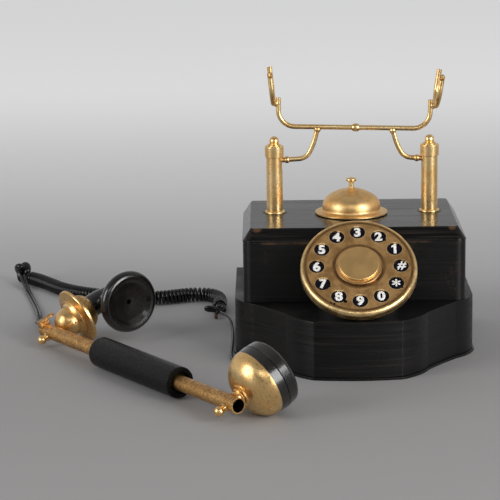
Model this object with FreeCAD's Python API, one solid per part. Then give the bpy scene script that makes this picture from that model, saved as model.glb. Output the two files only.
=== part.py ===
import FreeCAD, Part
import math
import os

from FreeCAD import Placement, Rotation, Vector

# An antique-style desk telephone: black sheet-metal base, brass cradle, bell and dial, and a handset that lies
# off the hook at the front left, joined to the base by a curly cord.
# Sizes are in millimetres, angles in degrees. The origin is on the desk under the middle of the body.
# +X is to the right of someone who faces the dial, +Y is to the back, +Z is up.

# Fits that all pieces share
RUNNING_GAP = 0.04
SLIDING_GAP = 0.1
CLEAR_GAP = 0.3

# Sheet-metal base
SHEET = 1.2
BODY_WIDTH = 150.0
BODY_DEPTH = 106.0
BODY_CORNER = 7.0
BODY_FLANGE = 8.0
LID_HEIGHT = 89.3
LID_RISE = 8.5
LID_INSET = 5.2
LID_CORNER = 3.0
LID_LEDGE = 0.35
LID_LIP = 4.0
PLATE_THICKNESS = 1.5
PLATE_LIP = 1.2
PLINTH_MARGIN = 6.0
PLINTH_REAR_MARGIN = 1.0
PLINTH_NOSE_HALF = 29.0
DECK_OPENING_WIDTH = 50.0
DECK_OPENING_DEPTH = 60.0
TAB_SIZE = 12.0
SCREW_RADIUS = 1.45
SCREW_HEAD_RADIUS = 2.8
SCREW_LENGTH = 7.0
GROMMET_RADIUS = 3.4
GROMMET_NECK = 2.2
GROMMET_FLANGE = 1.2
GROMMET_HEIGHT = 5.0
INLET_X = 30.0
INLET_HEIGHT = 8.0
INLET_BORE = 1.4

# Dial. Depths count backwards from the front face of the finger wheel.
DIAL_X = 1.6
DIAL_SLOPE = 41.1
DIAL_RADIUS = 38.7
DIAL_SKIRT = 6.6
DIAL_SHEET = 1.2
DIAL_RIM_ROUND = 2.6
DIAL_OVERLAP = 1.5
DIAL_LID_GAP = 0.48
DIAL_DECK_GAP = 0.75
FINGER_HOLES = 12
FINGER_HOLE_RADIUS = 5.1
FINGER_RING_RADIUS = 27.8
CAP_RADIUS = 15.75
CAP_TOP_RADIUS = 13.5
CAP_HEIGHT = 3.3
CAP_SPIGOT = 4.0
SHAFT_RADIUS = 2.5
SHAFT_END = 23.5
SHAFT_FLANGE = 0.8
NUMBER_PLATE_DEPTH = 1.6
NUMBER_PLATE_THICKNESS = 1.0
NUMBER_PLATE_GAP = 1.0
NUMBER_PLATE_HOLE = 7.0
DRUM_RADIUS = 26.0
DRUM_WALL = 1.2
DRUM_FRONT_THICKNESS = 2.4
BUSH_RADIUS = 4.5
BUSH_END = 8.8
GEAR_MODULE = 0.7
GEAR_TEETH = 42
PINION_TEETH = 12
GEAR_BACKLASH = 0.2
GEAR_DEPTH = 13.0
GEAR_THICKNESS = 2.5
GEAR_HUB_RADIUS = 3.2
PINION_DIRECTION = -45.0
PINION_SHAFT_RADIUS = 1.2
CAM_DEPTH = 16.6
CAM_THICKNESS = 1.5
CAM_RADIUS = 3.5
BRIDGE_DEPTH = 19.5
BRIDGE_THICKNESS = 2.0
PILLAR_RADIUS = 2.0
PILLAR_PLACE = 20.0
SPIRAL_TURNS = 4
SPIRAL_STEP = 1.8
SPIRAL_STRIP = 0.5
SPIRAL_WIDTH = 2.4

# Cradle
POST_INSET = 21.4
POST_SHIFT = 0.7
POST_Y = 5.0
POST_RADIUS = 5.7
POST_BORE = 3.8
POST_LENGTH = 45.2
POST_LEDGE = 2.0
BEAD_WIDTH = 1.3
BEAD_HEIGHT = 1.8
COLLAR_WALL = 0.85
COLLAR_DROP = 6.0
COLLAR_ROOF = 2.0
FINIAL_HEIGHT = 6.5
FINIAL_RADIUS = 3.4
FINIAL_STUD = 2.0
CRADLE_TRAVEL = 5.0
ROD_RADIUS = 1.7
ARM_DROP = 8.6
ARM_RISE = 1.5
LEFT_ARM_REACH = 30.1
RIGHT_ARM_REACH = 25.5
ARM_ELBOW = 7.8
ARM_KNEE = 2.8
BAR_RISE = 14.0
BAR_SHIFT = 2.2
BAR_LEAN = 1.6
BAR_BEND = 11.5
BAR_STUB = 20.0
BAR_INSET = 1.3
SLEEVE_RADIUS = 2.6
SLEEVE_LENGTH = 5.0
SLEEVE_SHIFT = 1.3
WELD_RADIUS = 2.4
FORK_RADIUS = 1.8
FORK_BORE = 1.15
FORK_HALF_SPAN = 13.5
FORK_HEIGHT = 23.4
FORK_LEAN = 7.5
FORK_RISE = 16.0
FORK_TIP_SLANT = 50.0
PLUNGER_LENGTH = 25.0
TAIL_RADIUS = 2.0
CROSSBAR_DROP = 19.3
CROSSBAR_THICKNESS = 3.5
CROSSBAR_WIDTH = 8.0
RIVET_RADIUS = 1.5
RIVET_HEAD_RADIUS = 2.6
RIVET_HEAD = 1.2
LEAF_THICKNESS = 0.4
LEAF_WIDTH = 6.0
SWITCH_X = -40.0
SWITCH_BLOCK = 8.0
CONTACT_GAP = 5.4

# Bell. Heights count up from the lid.
GONG_BRIM_RADIUS = 25.0
GONG_RADIUS = 20.0
GONG_LIFT = 0.7
GONG_HEIGHT = 17.2
GONG_CROWN = 28.0
GONG_SHOULDER = 9.4
GONG_WALL = 1.2
GONG_POST_RADIUS = 4.5
GONG_POST_BORE = 3.3
GONG_NIPPLE_RADIUS = 2.6
BUTTON_RADIUS = 1.7
BUTTON_HEAD_RADIUS = 3.5
BUTTON_TRAVEL = 4.0
BUTTON_TOP = 25.4
BUTTON_COLLAR_TOP = 13.4
BUTTON_COLLAR = 1.5
CLAPPER_X = 11.0
CLAPPER_DROP = 7.3
CLAPPER_HUB = 2.3
CLAPPER_WIDTH = 5.0
HAMMER_X = 15.9
HAMMER_HEIGHT = 5.7
HAMMER_RADIUS = 2.0
CLAPPER_PIN_RADIUS = 1.0

# Coil springs
SPRING_WIRE = 0.7
BUTTON_SPRING_TURNS = 6
CRADLE_SPRING_TURNS = 7

# Handset. Its own frame has X along the tube from the transmitter end and Z along the axes of the two cups.
HANDSET_PLACE = (-215.1, -3.9, 9.49)
HANDSET_AZIMUTH = -55.1
HANDSET_TILT = 0.603
HANDSET_ROLL = 23.92
TUBE_LENGTH = 241.0
TUBE_RADIUS = 5.0
TUBE_BORE = 4.0
GRIP_START = 77.8
GRIP_LENGTH = 97.7
GRIP_RADIUS = 10.25
GRIP_ROUND = 1.0
GRIP_WALL = 2.8
GRIP_RECESS = 2.2
EAR_INSET = 8.3
EAR_RADIUS = 22.3
EAR_RIM = 22.5
EAR_CAP_DEPTH = 15.0
EAR_WALL = 1.3
MOUTH_INSET = 11.2
BALL_RADIUS = 10.3
BALL_CENTRE = 14.45
DOME_HOLE_RADIUS = 0.65
DOME_HOLE_TURN = -9.8
SAUCER_RADIUS = 20.0
SAUCER_RIM = 23.0
MOUTH_DRUM_RADIUS = 13.2
MOUTH_DRUM_DEPTH = 9.6
MOUTH_DRUM_GROOVE = 1.0
MOUTH_DRUM_NECK = 12.6
HORN_RADIUS = 8.4
HORN_WALL = 1.6
HORN_RISE = 17.4
HORN_REACH = 23.0
HORN_FLARE = 17.5
DISC_RADIUS = 21.7
DISC_THICKNESS = 8.2
DISC_HOLE = 1.7
BOLT_RADIUS = 1.5
BOLT_BALL = 3.2
BOLT_BALL_CENTRE = 9.5
CLIP_WIDTH = 4.0
CLIP_SHEET = 1.0
CLIP_LENGTH = 13.0

# Cord
LEAD_RADIUS = 0.9
STRAND_RADIUS = 1.1
CURL_WIRE = 1.0
CURL_RADIUS = 4.3
CURL_PITCH = 3.6
CURL_RAMP = 11.0
CURL_SIDES = 6
CURL_HEIGHT = 5.4
TIE_RADIUS = 3.6
TIE_LENGTH = 5.0
KNOT_RADIUS = 6.3
KNOT_FLAT = 0.8
BEND_SHARE = 0.45
WINDING_STEP = 0.1

BASE_LEAD = [
    (-59.20, -68.90, 5.00),
    (-64.60, -72.60, 4.20),
    (-73.00, -73.20, 2.20),
    (-80.00, -67.20, 1.10),
    (-83.60, -57.00, 0.95),
    (-84.40, -42.00, 0.95),
    (-83.90, -20.00, 0.95),
    (-83.80, 8.00, 0.95),
    (-84.50, 24.00, 0.95),
    (-87.00, 35.00, 1.30),
    (-91.00, 43.40, 3.20),
    (-94.10, 51.60, 5.40),
    (-94.24, 59.50, 5.40),
]
CURL_ROUTE = [
    (-94.3, 66.5),
    (-94.4, 78.5),
    (-94.2, 89.6),
    (-95.4, 98.8),
    (-100.6, 107.0),
    (-109.4, 111.2),
    (-119.4, 110.2),
    (-130.0, 104.8),
    (-141.6, 101.6),
    (-153.8, 101.8),
    (-167.0, 104.6),
    (-180.6, 109.2),
    (-193.4, 115.0),
    (-204.2, 121.8),
    (-213.6, 130.2),
    (-221.8, 140.8),
    (-229.0, 152.0),
    (-235.6, 161.6),
    (-241.6, 168.4),
    (-247.3, 172.2),
]
STRAND_LEFT = [
    (-253.99, 171.48, 5.40),
    (-253.07, 165.12, 4.40),
    (-250.44, 156.61, 2.40),
    (-246.72, 146.58, 1.15),
    (-241.74, 133.63, 1.15),
    (-235.57, 111.72, 1.15),
    (-230.79, 87.81, 1.15),
    (-227.99, 63.89, 1.15),
    (-226.40, 41.92, 1.20),
    (-225.60, 25.89, 4.20),
    (-223.79, 12.84, 9.60),
]
STRAND_RIGHT = [
    (-251.61, 171.82, 5.40),
    (-250.73, 165.68, 4.40),
    (-248.16, 157.39, 2.40),
    (-244.48, 147.42, 1.15),
    (-239.46, 134.37, 1.15),
    (-233.23, 112.28, 1.15),
    (-228.41, 88.19, 1.15),
    (-225.61, 64.11, 1.15),
    (-224.00, 42.08, 1.20),
    (-223.20, 26.11, 4.20),
    (-221.41, 13.16, 9.60),
]

# Places worked out from the sizes above
UP = Vector(0, 0, 1)
BODY_FRONT = -BODY_DEPTH / 2
SHOULDER_HEIGHT = LID_HEIGHT - LID_RISE
LID_UNDER = LID_HEIGHT - SHEET
PLINTH_HALF = BODY_WIDTH / 2 + PLINTH_MARGIN
PLINTH_REAR = BODY_DEPTH / 2 + PLINTH_REAR_MARGIN
SLOPE_COS = math.cos(math.radians(DIAL_SLOPE))
SLOPE_SIN = math.sin(math.radians(DIAL_SLOPE))
DIAL_DROP = DIAL_RADIUS - DIAL_OVERLAP
DIAL_STAND = DIAL_SKIRT + DIAL_LID_GAP
DIAL_Y = BODY_FRONT + LID_INSET - DIAL_STAND * SLOPE_SIN - DIAL_DROP * SLOPE_COS
DIAL_Z = LID_HEIGHT + DIAL_STAND * SLOPE_COS - DIAL_DROP * SLOPE_SIN
DECK_HEIGHT = DIAL_Z - DIAL_RADIUS * SLOPE_SIN - DIAL_SKIRT * SLOPE_COS - DIAL_DECK_GAP
PLINTH_FRONT = DIAL_Y - DIAL_RADIUS * SLOPE_COS + PLATE_LIP
POST_X = BODY_WIDTH / 2 - POST_INSET
POST_TOP = LID_HEIGHT + POST_LENGTH
ARM_HEIGHT = POST_TOP - ARM_DROP
BAR_HEIGHT = POST_TOP + BAR_RISE
BAR_HALF = POST_X - BAR_INSET
PLUNGER_RADIUS = POST_BORE - SLIDING_GAP
PLUNGER_TOP = ARM_HEIGHT + ROD_RADIUS + 1.0
PLUNGER_BOTTOM = PLUNGER_TOP - PLUNGER_LENGTH
CROSSBAR_TOP = LID_HEIGHT - CROSSBAR_DROP
LEAF_TOP = CROSSBAR_TOP - CROSSBAR_THICKNESS - CLEAR_GAP
DRUM_FRONT = NUMBER_PLATE_DEPTH + NUMBER_PLATE_THICKNESS
DRUM_FLOOR = DRUM_FRONT + DRUM_FRONT_THICKNESS
GEAR_CENTRES = GEAR_MODULE * (GEAR_TEETH + PINION_TEETH) / 2
PINION_X = GEAR_CENTRES * math.cos(math.radians(PINION_DIRECTION))
PINION_Y = GEAR_CENTRES * math.sin(math.radians(PINION_DIRECTION))
PIVOT_HEIGHT = LID_HEIGHT - CLAPPER_DROP
EAR_X = TUBE_LENGTH - EAR_INSET
HORN_BASE = SAUCER_RIM + MOUTH_DRUM_DEPTH
HORN_AXIS = HORN_BASE + HORN_RISE
DISC_BACK = MOUTH_INSET + HORN_REACH
STRAND_SEAT_HEIGHT = TUBE_RADIUS + STRAND_RADIUS + 0.2

BAR_FRAME = Placement(Vector(BAR_SHIFT, POST_Y, BAR_HEIGHT), Rotation(Vector(0, 1, 0), BAR_LEAN))
DIAL_FRAME = Placement(Vector(DIAL_X, DIAL_Y, DIAL_Z), Rotation(Vector(1, 0, 0), DIAL_SLOPE))
HANDSET_FRAME = Placement(
    Vector(*HANDSET_PLACE),
    Rotation(HANDSET_AZIMUTH, -HANDSET_TILT, HANDSET_ROLL - 90),
)


# Shape helpers


def moved(shape, frame):
    """The shape carried from its own frame into the telephone's."""
    return shape.transformed(frame.toMatrix(), copy=True)


def mirrored(shape):
    """The shape's twin on the other side of the middle plane."""
    return shape.mirror(Vector(), Vector(1, 0, 0))


def outward(solid):
    """The solid with its faces turned outwards."""
    if solid.Volume < 0:
        solid.reverse()
    return solid


def cylinder(radius, start, end, x=0.0, y=0.0):
    """An upright cylinder between two heights."""
    low, high = sorted((start, end))
    return Part.makeCylinder(radius, high - low, Vector(x, y, low))


def ring(outer, inner, start, end, x=0.0, y=0.0):
    """An upright hollow cylinder between two heights."""
    return cylinder(outer, start, end, x, y).cut(cylinder(inner, start, end, x, y))


def block(low, high):
    """A box between two corners."""
    size = [b - a for a, b in zip(low, high)]
    return Part.makeBox(*size, Vector(*low))


def turned(*steps):
    """A solid turned about Z from (radius, height) points; a step of four numbers is an arc's middle and end."""
    corners = [Vector(step[-2], 0, step[-1]) for step in steps]
    edges = []
    for index, step in enumerate(steps):
        start, end = corners[index - 1], corners[index]
        if len(step) == 4:
            edges.append(Part.Arc(start, Vector(step[0], 0, step[1]), end).toShape())
        else:
            edges.append(Part.LineSegment(start, end).toShape())
    return outward(Part.Face(Part.Wire(edges)).revolve(Vector(), UP, 360))


def rounded_rectangle(width, depth, radius, height):
    """A level wire with four equal rounded corners."""
    half_x, half_y = width / 2 - radius, depth / 2 - radius
    diagonal = radius * math.sqrt(0.5)
    edges = []
    ends = []
    for sign_x, sign_y in ((1, -1), (1, 1), (-1, 1), (-1, -1)):
        centre = Vector(sign_x * half_x, sign_y * half_y, height)
        side = centre + Vector(sign_x * radius, 0, 0)
        face = centre + Vector(0, sign_y * radius, 0)
        middle = centre + Vector(sign_x * diagonal, sign_y * diagonal, 0)
        first, last = (face, side) if sign_x * sign_y < 0 else (side, face)
        if ends:
            edges.append(Part.LineSegment(ends[-1], first).toShape())
        edges.append(Part.Arc(first, middle, last).toShape())
        ends += [first, last]
    edges.append(Part.LineSegment(ends[-1], ends[0]).toShape())
    return Part.Wire(edges)


def upright(wire, height):
    """A level closed wire extruded upwards."""
    return Part.Face(wire).extrude(Vector(0, 0, height))


def corner_arc(before, corner, after):
    """The ends, middle and radius of the arc that joins two straight runs."""
    into = corner - before
    out = after - corner
    reach = BEND_SHARE * min(into.Length, out.Length)
    half_turn = into.getAngle(out) / 2
    first = corner - into * (reach / into.Length)
    last = corner + out * (reach / out.Length)
    chord_middle = (first + last) / 2
    rise = first.distanceToPoint(last) / 2 * math.tan(half_turn / 2)
    middle = chord_middle + (corner - chord_middle).normalize() * rise
    return first, middle, last, reach / math.tan(half_turn)


def bent_path(points):
    """Straight runs joined by tangent arcs, and the arcs' radii."""
    corners = [Vector(*point) for point in points]
    edges = []
    radii = []
    here = corners[0]
    for before, corner, after in zip(corners, corners[1:], corners[2:]):
        first, middle, last, radius = corner_arc(before, corner, after)
        edges.append(Part.LineSegment(here, first).toShape())
        edges.append(Part.Arc(first, middle, last).toShape())
        radii.append(radius)
        here = last
    edges.append(Part.LineSegment(here, corners[-1]).toShape())
    return edges, radii


def section(point, heading, radius, sides=0):
    """A circle, or a regular polygon, square to a heading."""
    if not sides:
        return Part.Wire(Part.makeCircle(radius, point, heading))
    across = heading.cross(UP if abs(heading.z) < 0.9 * heading.Length else Vector(1, 0, 0)).normalize()
    above = across.cross(heading).normalize()
    corners = []
    for index in range(sides + 1):
        angle = 2 * math.pi * index / sides
        corners.append(point + across * (radius * math.cos(angle)) + above * (radius * math.sin(angle)))
    return Part.makePolygon(corners)


def swept(edges, radius, sides=0):
    """A solid round or faceted rod along a chain of edges."""
    start = edges[0]
    heading = start.tangentAt(start.FirstParameter)
    profile = section(start.valueAt(start.FirstParameter), heading, radius, sides)
    return outward(Part.Wire(edges).makePipeShell([profile], True, False))


def biarc(start, heading, end, end_heading):
    """Two arcs that leave start along heading and reach end along end_heading."""
    span = end - start
    both = heading + end_heading
    square = 2 * heading.dot(end_heading) - 2
    slope = -2 * span.dot(both)
    if abs(square) < 1e-9:
        reach = -span.dot(span) / slope
    else:
        reach = (-slope - math.sqrt(slope * slope - 4 * square * span.dot(span))) / (2 * square)
    corner_one = start + heading * reach
    corner_two = end - end_heading * reach
    join = (corner_one + corner_two) / 2
    arcs = []
    for first, corner, last in ((start, corner_one, join), (join, corner_two, end)):
        chord_middle = (first + last) / 2
        half_chord = first.distanceToPoint(last) / 2
        half_angle = math.acos(min(1.0, half_chord / reach))
        towards = (corner - chord_middle).normalize()
        middle = chord_middle + towards * (half_chord * math.tan(half_angle / 2))
        arcs.append(Part.Arc(first, middle, last).toShape())
    return arcs


def smooth_step(value):
    """Zero to one with level ends."""
    value = max(0.0, min(1.0, value))
    return value * value * (3 - 2 * value)


def route_places(edges):
    """Closely spaced points along level edges, each with its heading and its distance from the start."""
    places = []
    travelled = 0.0
    for edge in edges:
        count = max(1, round(edge.Length / WINDING_STEP))
        for index in range(count):
            part_way = edge.Length * index / count
            parameter = edge.getParameterByLength(part_way)
            places.append((edge.valueAt(parameter), edge.tangentAt(parameter), travelled + part_way))
        travelled += edge.Length
    last = edges[-1]
    places.append((last.valueAt(last.LastParameter), last.tangentAt(last.LastParameter), travelled))
    return places


def winding(places, radius, pitch, ramp):
    """Points of a helix round a level route, which opens out from the route over the ramp at each end."""
    length = places[-1][2]
    points = []
    phases = []
    phase = -math.pi / 2
    before = 0.0
    for centre, heading, along in places:
        opened = smooth_step(min(along, length - along) / ramp) if ramp else 1.0
        phase += 2 * math.pi / pitch * opened * (along - before)
        before = along
        left = UP.cross(heading)
        points.append(centre + (left * math.cos(phase) + UP * math.sin(phase)) * (radius * opened))
        phases.append(phase)
    return points, phases


def half_turns(phases):
    """Indexes of the points that stand a half turn apart, with the two ends."""
    marks = [0]
    target = phases[0] + math.pi
    for index, phase in enumerate(phases):
        if phase >= target:
            marks.append(index)
            target += math.pi
    if phases[-1] - phases[marks[-1]] < math.pi / 2 and len(marks) > 1:
        marks.pop()
    return marks + [len(phases) - 1]


def wound_edges(points, phases, first_heading=None, last_heading=None):
    """Biarcs of half a turn through a helix."""
    marks = half_turns(phases)
    headings = []
    for mark in marks:
        low = max(0, mark - 1)
        high = min(len(points) - 1, mark + 1)
        headings.append((points[high] - points[low]).normalize())
    if first_heading:
        headings[0] = first_heading
        headings[-1] = last_heading
    edges = []
    for index in range(len(marks) - 1):
        start, end = points[marks[index]], points[marks[index + 1]]
        edges += biarc(start, headings[index], end, headings[index + 1])
    return edges


def least_gap(points, phases, wire_radius):
    """The least clear distance between places that are half a turn to a turn and a half apart, on points."""
    least = math.inf
    near = 0
    far = 0
    for index, point in enumerate(points):
        while near < len(points) and phases[near] < phases[index] + math.pi:
            near += 1
        while far < len(points) and phases[far] < phases[index] + 3 * math.pi:
            far += 1
        for other in points[near:far:2]:
            least = min(least, point.distanceToPoint(other))
    return least - 2 * wire_radius


def coil_spring(radius, length, turns):
    """An upright compression spring of square wire that stands on height zero."""
    start = Vector(SPRING_WIRE / 2, 0, 0)
    end = Vector(length - SPRING_WIRE / 2, 0, 0)
    places = route_places([Part.LineSegment(start, end).toShape()])
    pitch = (length - SPRING_WIRE) / turns
    points, phases = winding(places, radius, pitch, 0)
    spring = swept(wound_edges(points, phases), SPRING_WIRE / 2, 4)
    spring.rotate(Vector(), Vector(0, 1, 0), -90)
    return spring


def gear_blank(teeth, thickness, backlash, turn):
    """A spur gear from height zero, with a tooth centred on the angle turn."""
    pitch_radius = GEAR_MODULE * teeth / 2
    outline = []
    for index in range(teeth):
        middle = math.radians(turn) + 2 * math.pi * index / teeth
        for radius, side in ((-1.25, -1), (1.0, -1), (1.0, 1), (-1.25, 1)):
            height = radius * GEAR_MODULE
            half = math.pi * GEAR_MODULE / 4 - backlash / 2 - height * math.tan(math.radians(20))
            angle = middle + side * half / (pitch_radius + height)
            reach = pitch_radius + height
            outline.append(Vector(reach * math.cos(angle), reach * math.sin(angle), 0))
    outline.append(outline[0])
    return upright(Part.makePolygon(outline), thickness)


# Base


def plinth_outline(height):
    """The plinth's plan: square at the back, with a shoulder, a hollow and a bowed nose at the front."""
    half, rear, front = PLINTH_HALF, PLINTH_REAR, PLINTH_FRONT
    side_end = BODY_FRONT + 17.0
    shoulder = (half - 13.0, BODY_FRONT - 3.0)
    waist = (PLINTH_NOSE_HALF + 18.0, front + 24.6)
    nose = (PLINTH_NOSE_HALF, front + 2.7)
    shoulder_bulge = (half - 4.4, BODY_FRONT + 6.2)
    hollow = ((shoulder[0] + waist[0]) / 2 + 0.6, (shoulder[1] + waist[1]) / 2 + 1.7)
    nose_bulge = (PLINTH_NOSE_HALF + 11.0, front + 12.6)

    def at(point, sign):
        return Vector(sign * point[0], point[1], height)

    edges = [Part.LineSegment(Vector(-half, rear, height), Vector(half, rear, height)).toShape()]
    edges.append(Part.LineSegment(Vector(half, rear, height), Vector(half, side_end, height)).toShape())
    edges.append(Part.Arc(Vector(half, side_end, height), at(shoulder_bulge, 1), at(shoulder, 1)).toShape())
    edges.append(Part.Arc(at(shoulder, 1), at(hollow, 1), at(waist, 1)).toShape())
    edges.append(Part.Arc(at(waist, 1), at(nose_bulge, 1), at(nose, 1)).toShape())
    edges.append(Part.Arc(at(nose, 1), Vector(0, front, height), at(nose, -1)).toShape())
    edges.append(Part.Arc(at(nose, -1), at(nose_bulge, -1), at(waist, -1)).toShape())
    edges.append(Part.Arc(at(waist, -1), at(hollow, -1), at(shoulder, -1)).toShape())
    edges.append(Part.Arc(at(shoulder, -1), at(shoulder_bulge, -1), Vector(-half, side_end, height)).toShape())
    edges.append(Part.LineSegment(Vector(-half, side_end, height), Vector(-half, rear, height)).toShape())
    return Part.Wire(edges)


def screw_places():
    """Where the four base screws stand."""
    reach = PLINTH_HALF - SHEET - TAB_SIZE / 2
    rear = PLINTH_REAR - SHEET - TAB_SIZE / 2
    return [(-reach, rear), (reach, rear), (-reach, BODY_FRONT + 25.0), (reach, BODY_FRONT + 25.0)]


def cord_exit():
    """The grommet's frame on the plinth's left flank, with Z pointing out of the wall."""
    shoulder_x, shoulder_y = PLINTH_HALF - 13.0, BODY_FRONT - 3.0
    waist_x, waist_y = PLINTH_NOSE_HALF + 18.0, PLINTH_FRONT + 24.6
    run = Vector(shoulder_x - waist_x, waist_y - shoulder_y, 0).normalize()
    outwards = Vector(run.y, -run.x, 0)
    place = Vector(-(shoulder_x + waist_x) / 2 - 0.6, (shoulder_y + waist_y) / 2 + 1.7, GROMMET_HEIGHT)
    return Placement(place, Rotation(UP, outwards))


def inlet_exit():
    """The line inlet's frame on the plinth's rear wall."""
    return Placement(Vector(INLET_X, PLINTH_REAR, INLET_HEIGHT), Rotation(UP, Vector(0, 1, 0)))


def base_plate():
    outline = plinth_outline(0).makeOffset2D(PLATE_LIP)
    plate = upright(outline, PLATE_THICKNESS)
    for x, y in screw_places():
        sink = Part.makeCone(SCREW_HEAD_RADIUS, SCREW_RADIUS, SCREW_HEAD_RADIUS - SCREW_RADIUS, Vector(x, y, 0))
        plate = plate.cut(sink).cut(cylinder(SCREW_RADIUS, 0, PLATE_THICKNESS, x, y))
    return plate


def base_screws():
    screws = []
    for x, y in screw_places():
        head = Part.makeCone(SCREW_HEAD_RADIUS, SCREW_RADIUS, SCREW_HEAD_RADIUS - SCREW_RADIUS, Vector(x, y, 0))
        screws.append(head.fuse(cylinder(SCREW_RADIUS, 0, SCREW_LENGTH, x, y)).removeSplitter())
    return Part.makeCompound(screws)


def plinth_shell():
    wall_height = DECK_HEIGHT - PLATE_THICKNESS
    outside = plinth_outline(PLATE_THICKNESS)
    shell = upright(outside, wall_height).cut(upright(outside.makeOffset2D(-SHEET), wall_height - SHEET))
    opening_low = (-DECK_OPENING_WIDTH / 2, -DECK_OPENING_DEPTH / 2, DECK_HEIGHT - SHEET)
    opening_high = (DECK_OPENING_WIDTH / 2, DECK_OPENING_DEPTH / 2, DECK_HEIGHT)
    shell = shell.cut(block(opening_low, opening_high))
    half = TAB_SIZE / 2
    for x, y in screw_places():
        towards_wall = math.copysign(half + SHEET / 2, x)
        low = (min(x - half, x + towards_wall), y - half, PLATE_THICKNESS)
        high = (max(x + half, x + towards_wall), y + half, PLATE_THICKNESS + SHEET)
        shell = shell.fuse(block(low, high)).cut(cylinder(SCREW_RADIUS, 0, SCREW_LENGTH, x, y))
    for frame in (cord_exit(), inlet_exit()):
        shell = shell.cut(moved(cylinder(GROMMET_NECK, -3 * SHEET, SHEET), frame))
    return shell.removeSplitter()


def body_shell():
    height = SHOULDER_HEIGHT - DECK_HEIGHT
    outside = rounded_rectangle(BODY_WIDTH, BODY_DEPTH, BODY_CORNER, DECK_HEIGHT)
    inside = rounded_rectangle(BODY_WIDTH - 2 * SHEET, BODY_DEPTH - 2 * SHEET, BODY_CORNER - SHEET, DECK_HEIGHT)
    flange_inside = rounded_rectangle(
        BODY_WIDTH - 2 * BODY_FLANGE, BODY_DEPTH - 2 * BODY_FLANGE, BODY_CORNER - SHEET, DECK_HEIGHT
    )
    wall = upright(outside, height).cut(upright(inside, height))
    flange = upright(inside, SHEET).cut(upright(flange_inside, SHEET))
    return wall.fuse(flange).removeSplitter()


def top_cover():
    outside = Part.makeLoft(
        [
            rounded_rectangle(BODY_WIDTH + 2 * LID_LEDGE, BODY_DEPTH + 2 * LID_LEDGE, BODY_CORNER, SHOULDER_HEIGHT),
            rounded_rectangle(BODY_WIDTH - 2 * LID_INSET, BODY_DEPTH - 2 * LID_INSET, LID_CORNER, LID_HEIGHT),
        ],
        True,
        True,
    )
    lip_width = BODY_WIDTH - 2 * SHEET - 2 * SLIDING_GAP
    lip_depth = BODY_DEPTH - 2 * SHEET - 2 * SLIDING_GAP
    lip_corner = BODY_CORNER - SHEET - SLIDING_GAP
    room_corner = lip_corner - SHEET
    lip = upright(rounded_rectangle(lip_width, lip_depth, lip_corner, SHOULDER_HEIGHT - LID_LIP), LID_LIP)
    room_low = rounded_rectangle(lip_width - 2 * SHEET, lip_depth - 2 * SHEET, room_corner, SHOULDER_HEIGHT)
    room_high = rounded_rectangle(
        BODY_WIDTH - 2 * LID_INSET - 2 * SHEET, BODY_DEPTH - 2 * LID_INSET - 2 * SHEET, LID_CORNER - SHEET, LID_UNDER
    )
    room = Part.makeLoft([room_low, room_high], True, True)
    lip_room = upright(
        rounded_rectangle(lip_width - 2 * SHEET, lip_depth - 2 * SHEET, room_corner, SHOULDER_HEIGHT - LID_LIP), LID_LIP
    )
    cover = outside.fuse(lip).cut(room).cut(lip_room)
    for sign in (-1, 1):
        cover = cover.cut(cylinder(TAIL_RADIUS + CLEAR_GAP, LID_UNDER, LID_HEIGHT, post_x(sign), POST_Y))
    cover = cover.cut(cylinder(GONG_POST_RADIUS - 1.0, LID_UNDER, LID_HEIGHT))
    slot_low = (CLAPPER_X - 1.7, -1.6, LID_UNDER)
    slot_high = (HAMMER_X - 0.5, 1.6, LID_HEIGHT)
    return cover.cut(block(slot_low, slot_high)).removeSplitter()


def cord_grommets():
    inner_face = -SHEET - SLIDING_GAP
    plug = turned(
        (0, GROMMET_FLANGE),
        (0, inner_face - GROMMET_FLANGE),
        (GROMMET_RADIUS, inner_face - GROMMET_FLANGE),
        (GROMMET_RADIUS, inner_face),
        (GROMMET_NECK, inner_face),
        (GROMMET_NECK, SLIDING_GAP),
        (GROMMET_RADIUS, SLIDING_GAP),
        (GROMMET_RADIUS - 0.4, GROMMET_FLANGE),
    )
    inlet = plug.cut(cylinder(INLET_BORE, -2 * GROMMET_RADIUS, GROMMET_RADIUS))
    return Part.makeCompound([moved(plug, cord_exit()), moved(inlet, inlet_exit())])


# Cradle. The bar, its sleeve and the forks are made in the bar's own frame, which leans a little.


def post_x(side):
    return POST_SHIFT + side * POST_X


def arm_reach(side):
    """How far from its post an arm meets the bar."""
    return RIGHT_ARM_REACH if side > 0 else LEFT_ARM_REACH


def arm_slope(side):
    """How steeply an arm leaves its post."""
    return ARM_RISE / (arm_reach(side) - ARM_ELBOW)


def post(side):
    x = post_x(side)
    bead = turned(
        (POST_BORE, LID_HEIGHT),
        (POST_RADIUS + BEAD_WIDTH, LID_HEIGHT),
        (POST_RADIUS + 0.8 * BEAD_WIDTH, LID_HEIGHT + 0.7 * BEAD_HEIGHT, POST_RADIUS, LID_HEIGHT + BEAD_HEIGHT),
        (POST_BORE, LID_HEIGHT + BEAD_HEIGHT),
    )
    bead.translate(Vector(x, POST_Y, 0))
    solid = cylinder(POST_RADIUS, LID_HEIGHT, POST_TOP, x, POST_Y).fuse(bead)
    solid = solid.cut(cylinder(POST_BORE, LID_HEIGHT + POST_LEDGE, POST_TOP, x, POST_Y))
    solid = solid.cut(cylinder(TAIL_RADIUS + SLIDING_GAP, LID_HEIGHT, POST_TOP, x, POST_Y))
    slot_half = ROD_RADIUS + CLEAR_GAP
    inner, outer = sorted((x, x - side * 2 * POST_RADIUS))
    low = (inner, POST_Y - slot_half, ARM_HEIGHT - slot_half - CRADLE_TRAVEL)
    arm_lift = arm_slope(side) * POST_RADIUS
    high = (outer, POST_Y + slot_half, ARM_HEIGHT + slot_half + arm_lift)
    return solid.cut(block(low, high)).removeSplitter()


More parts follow.
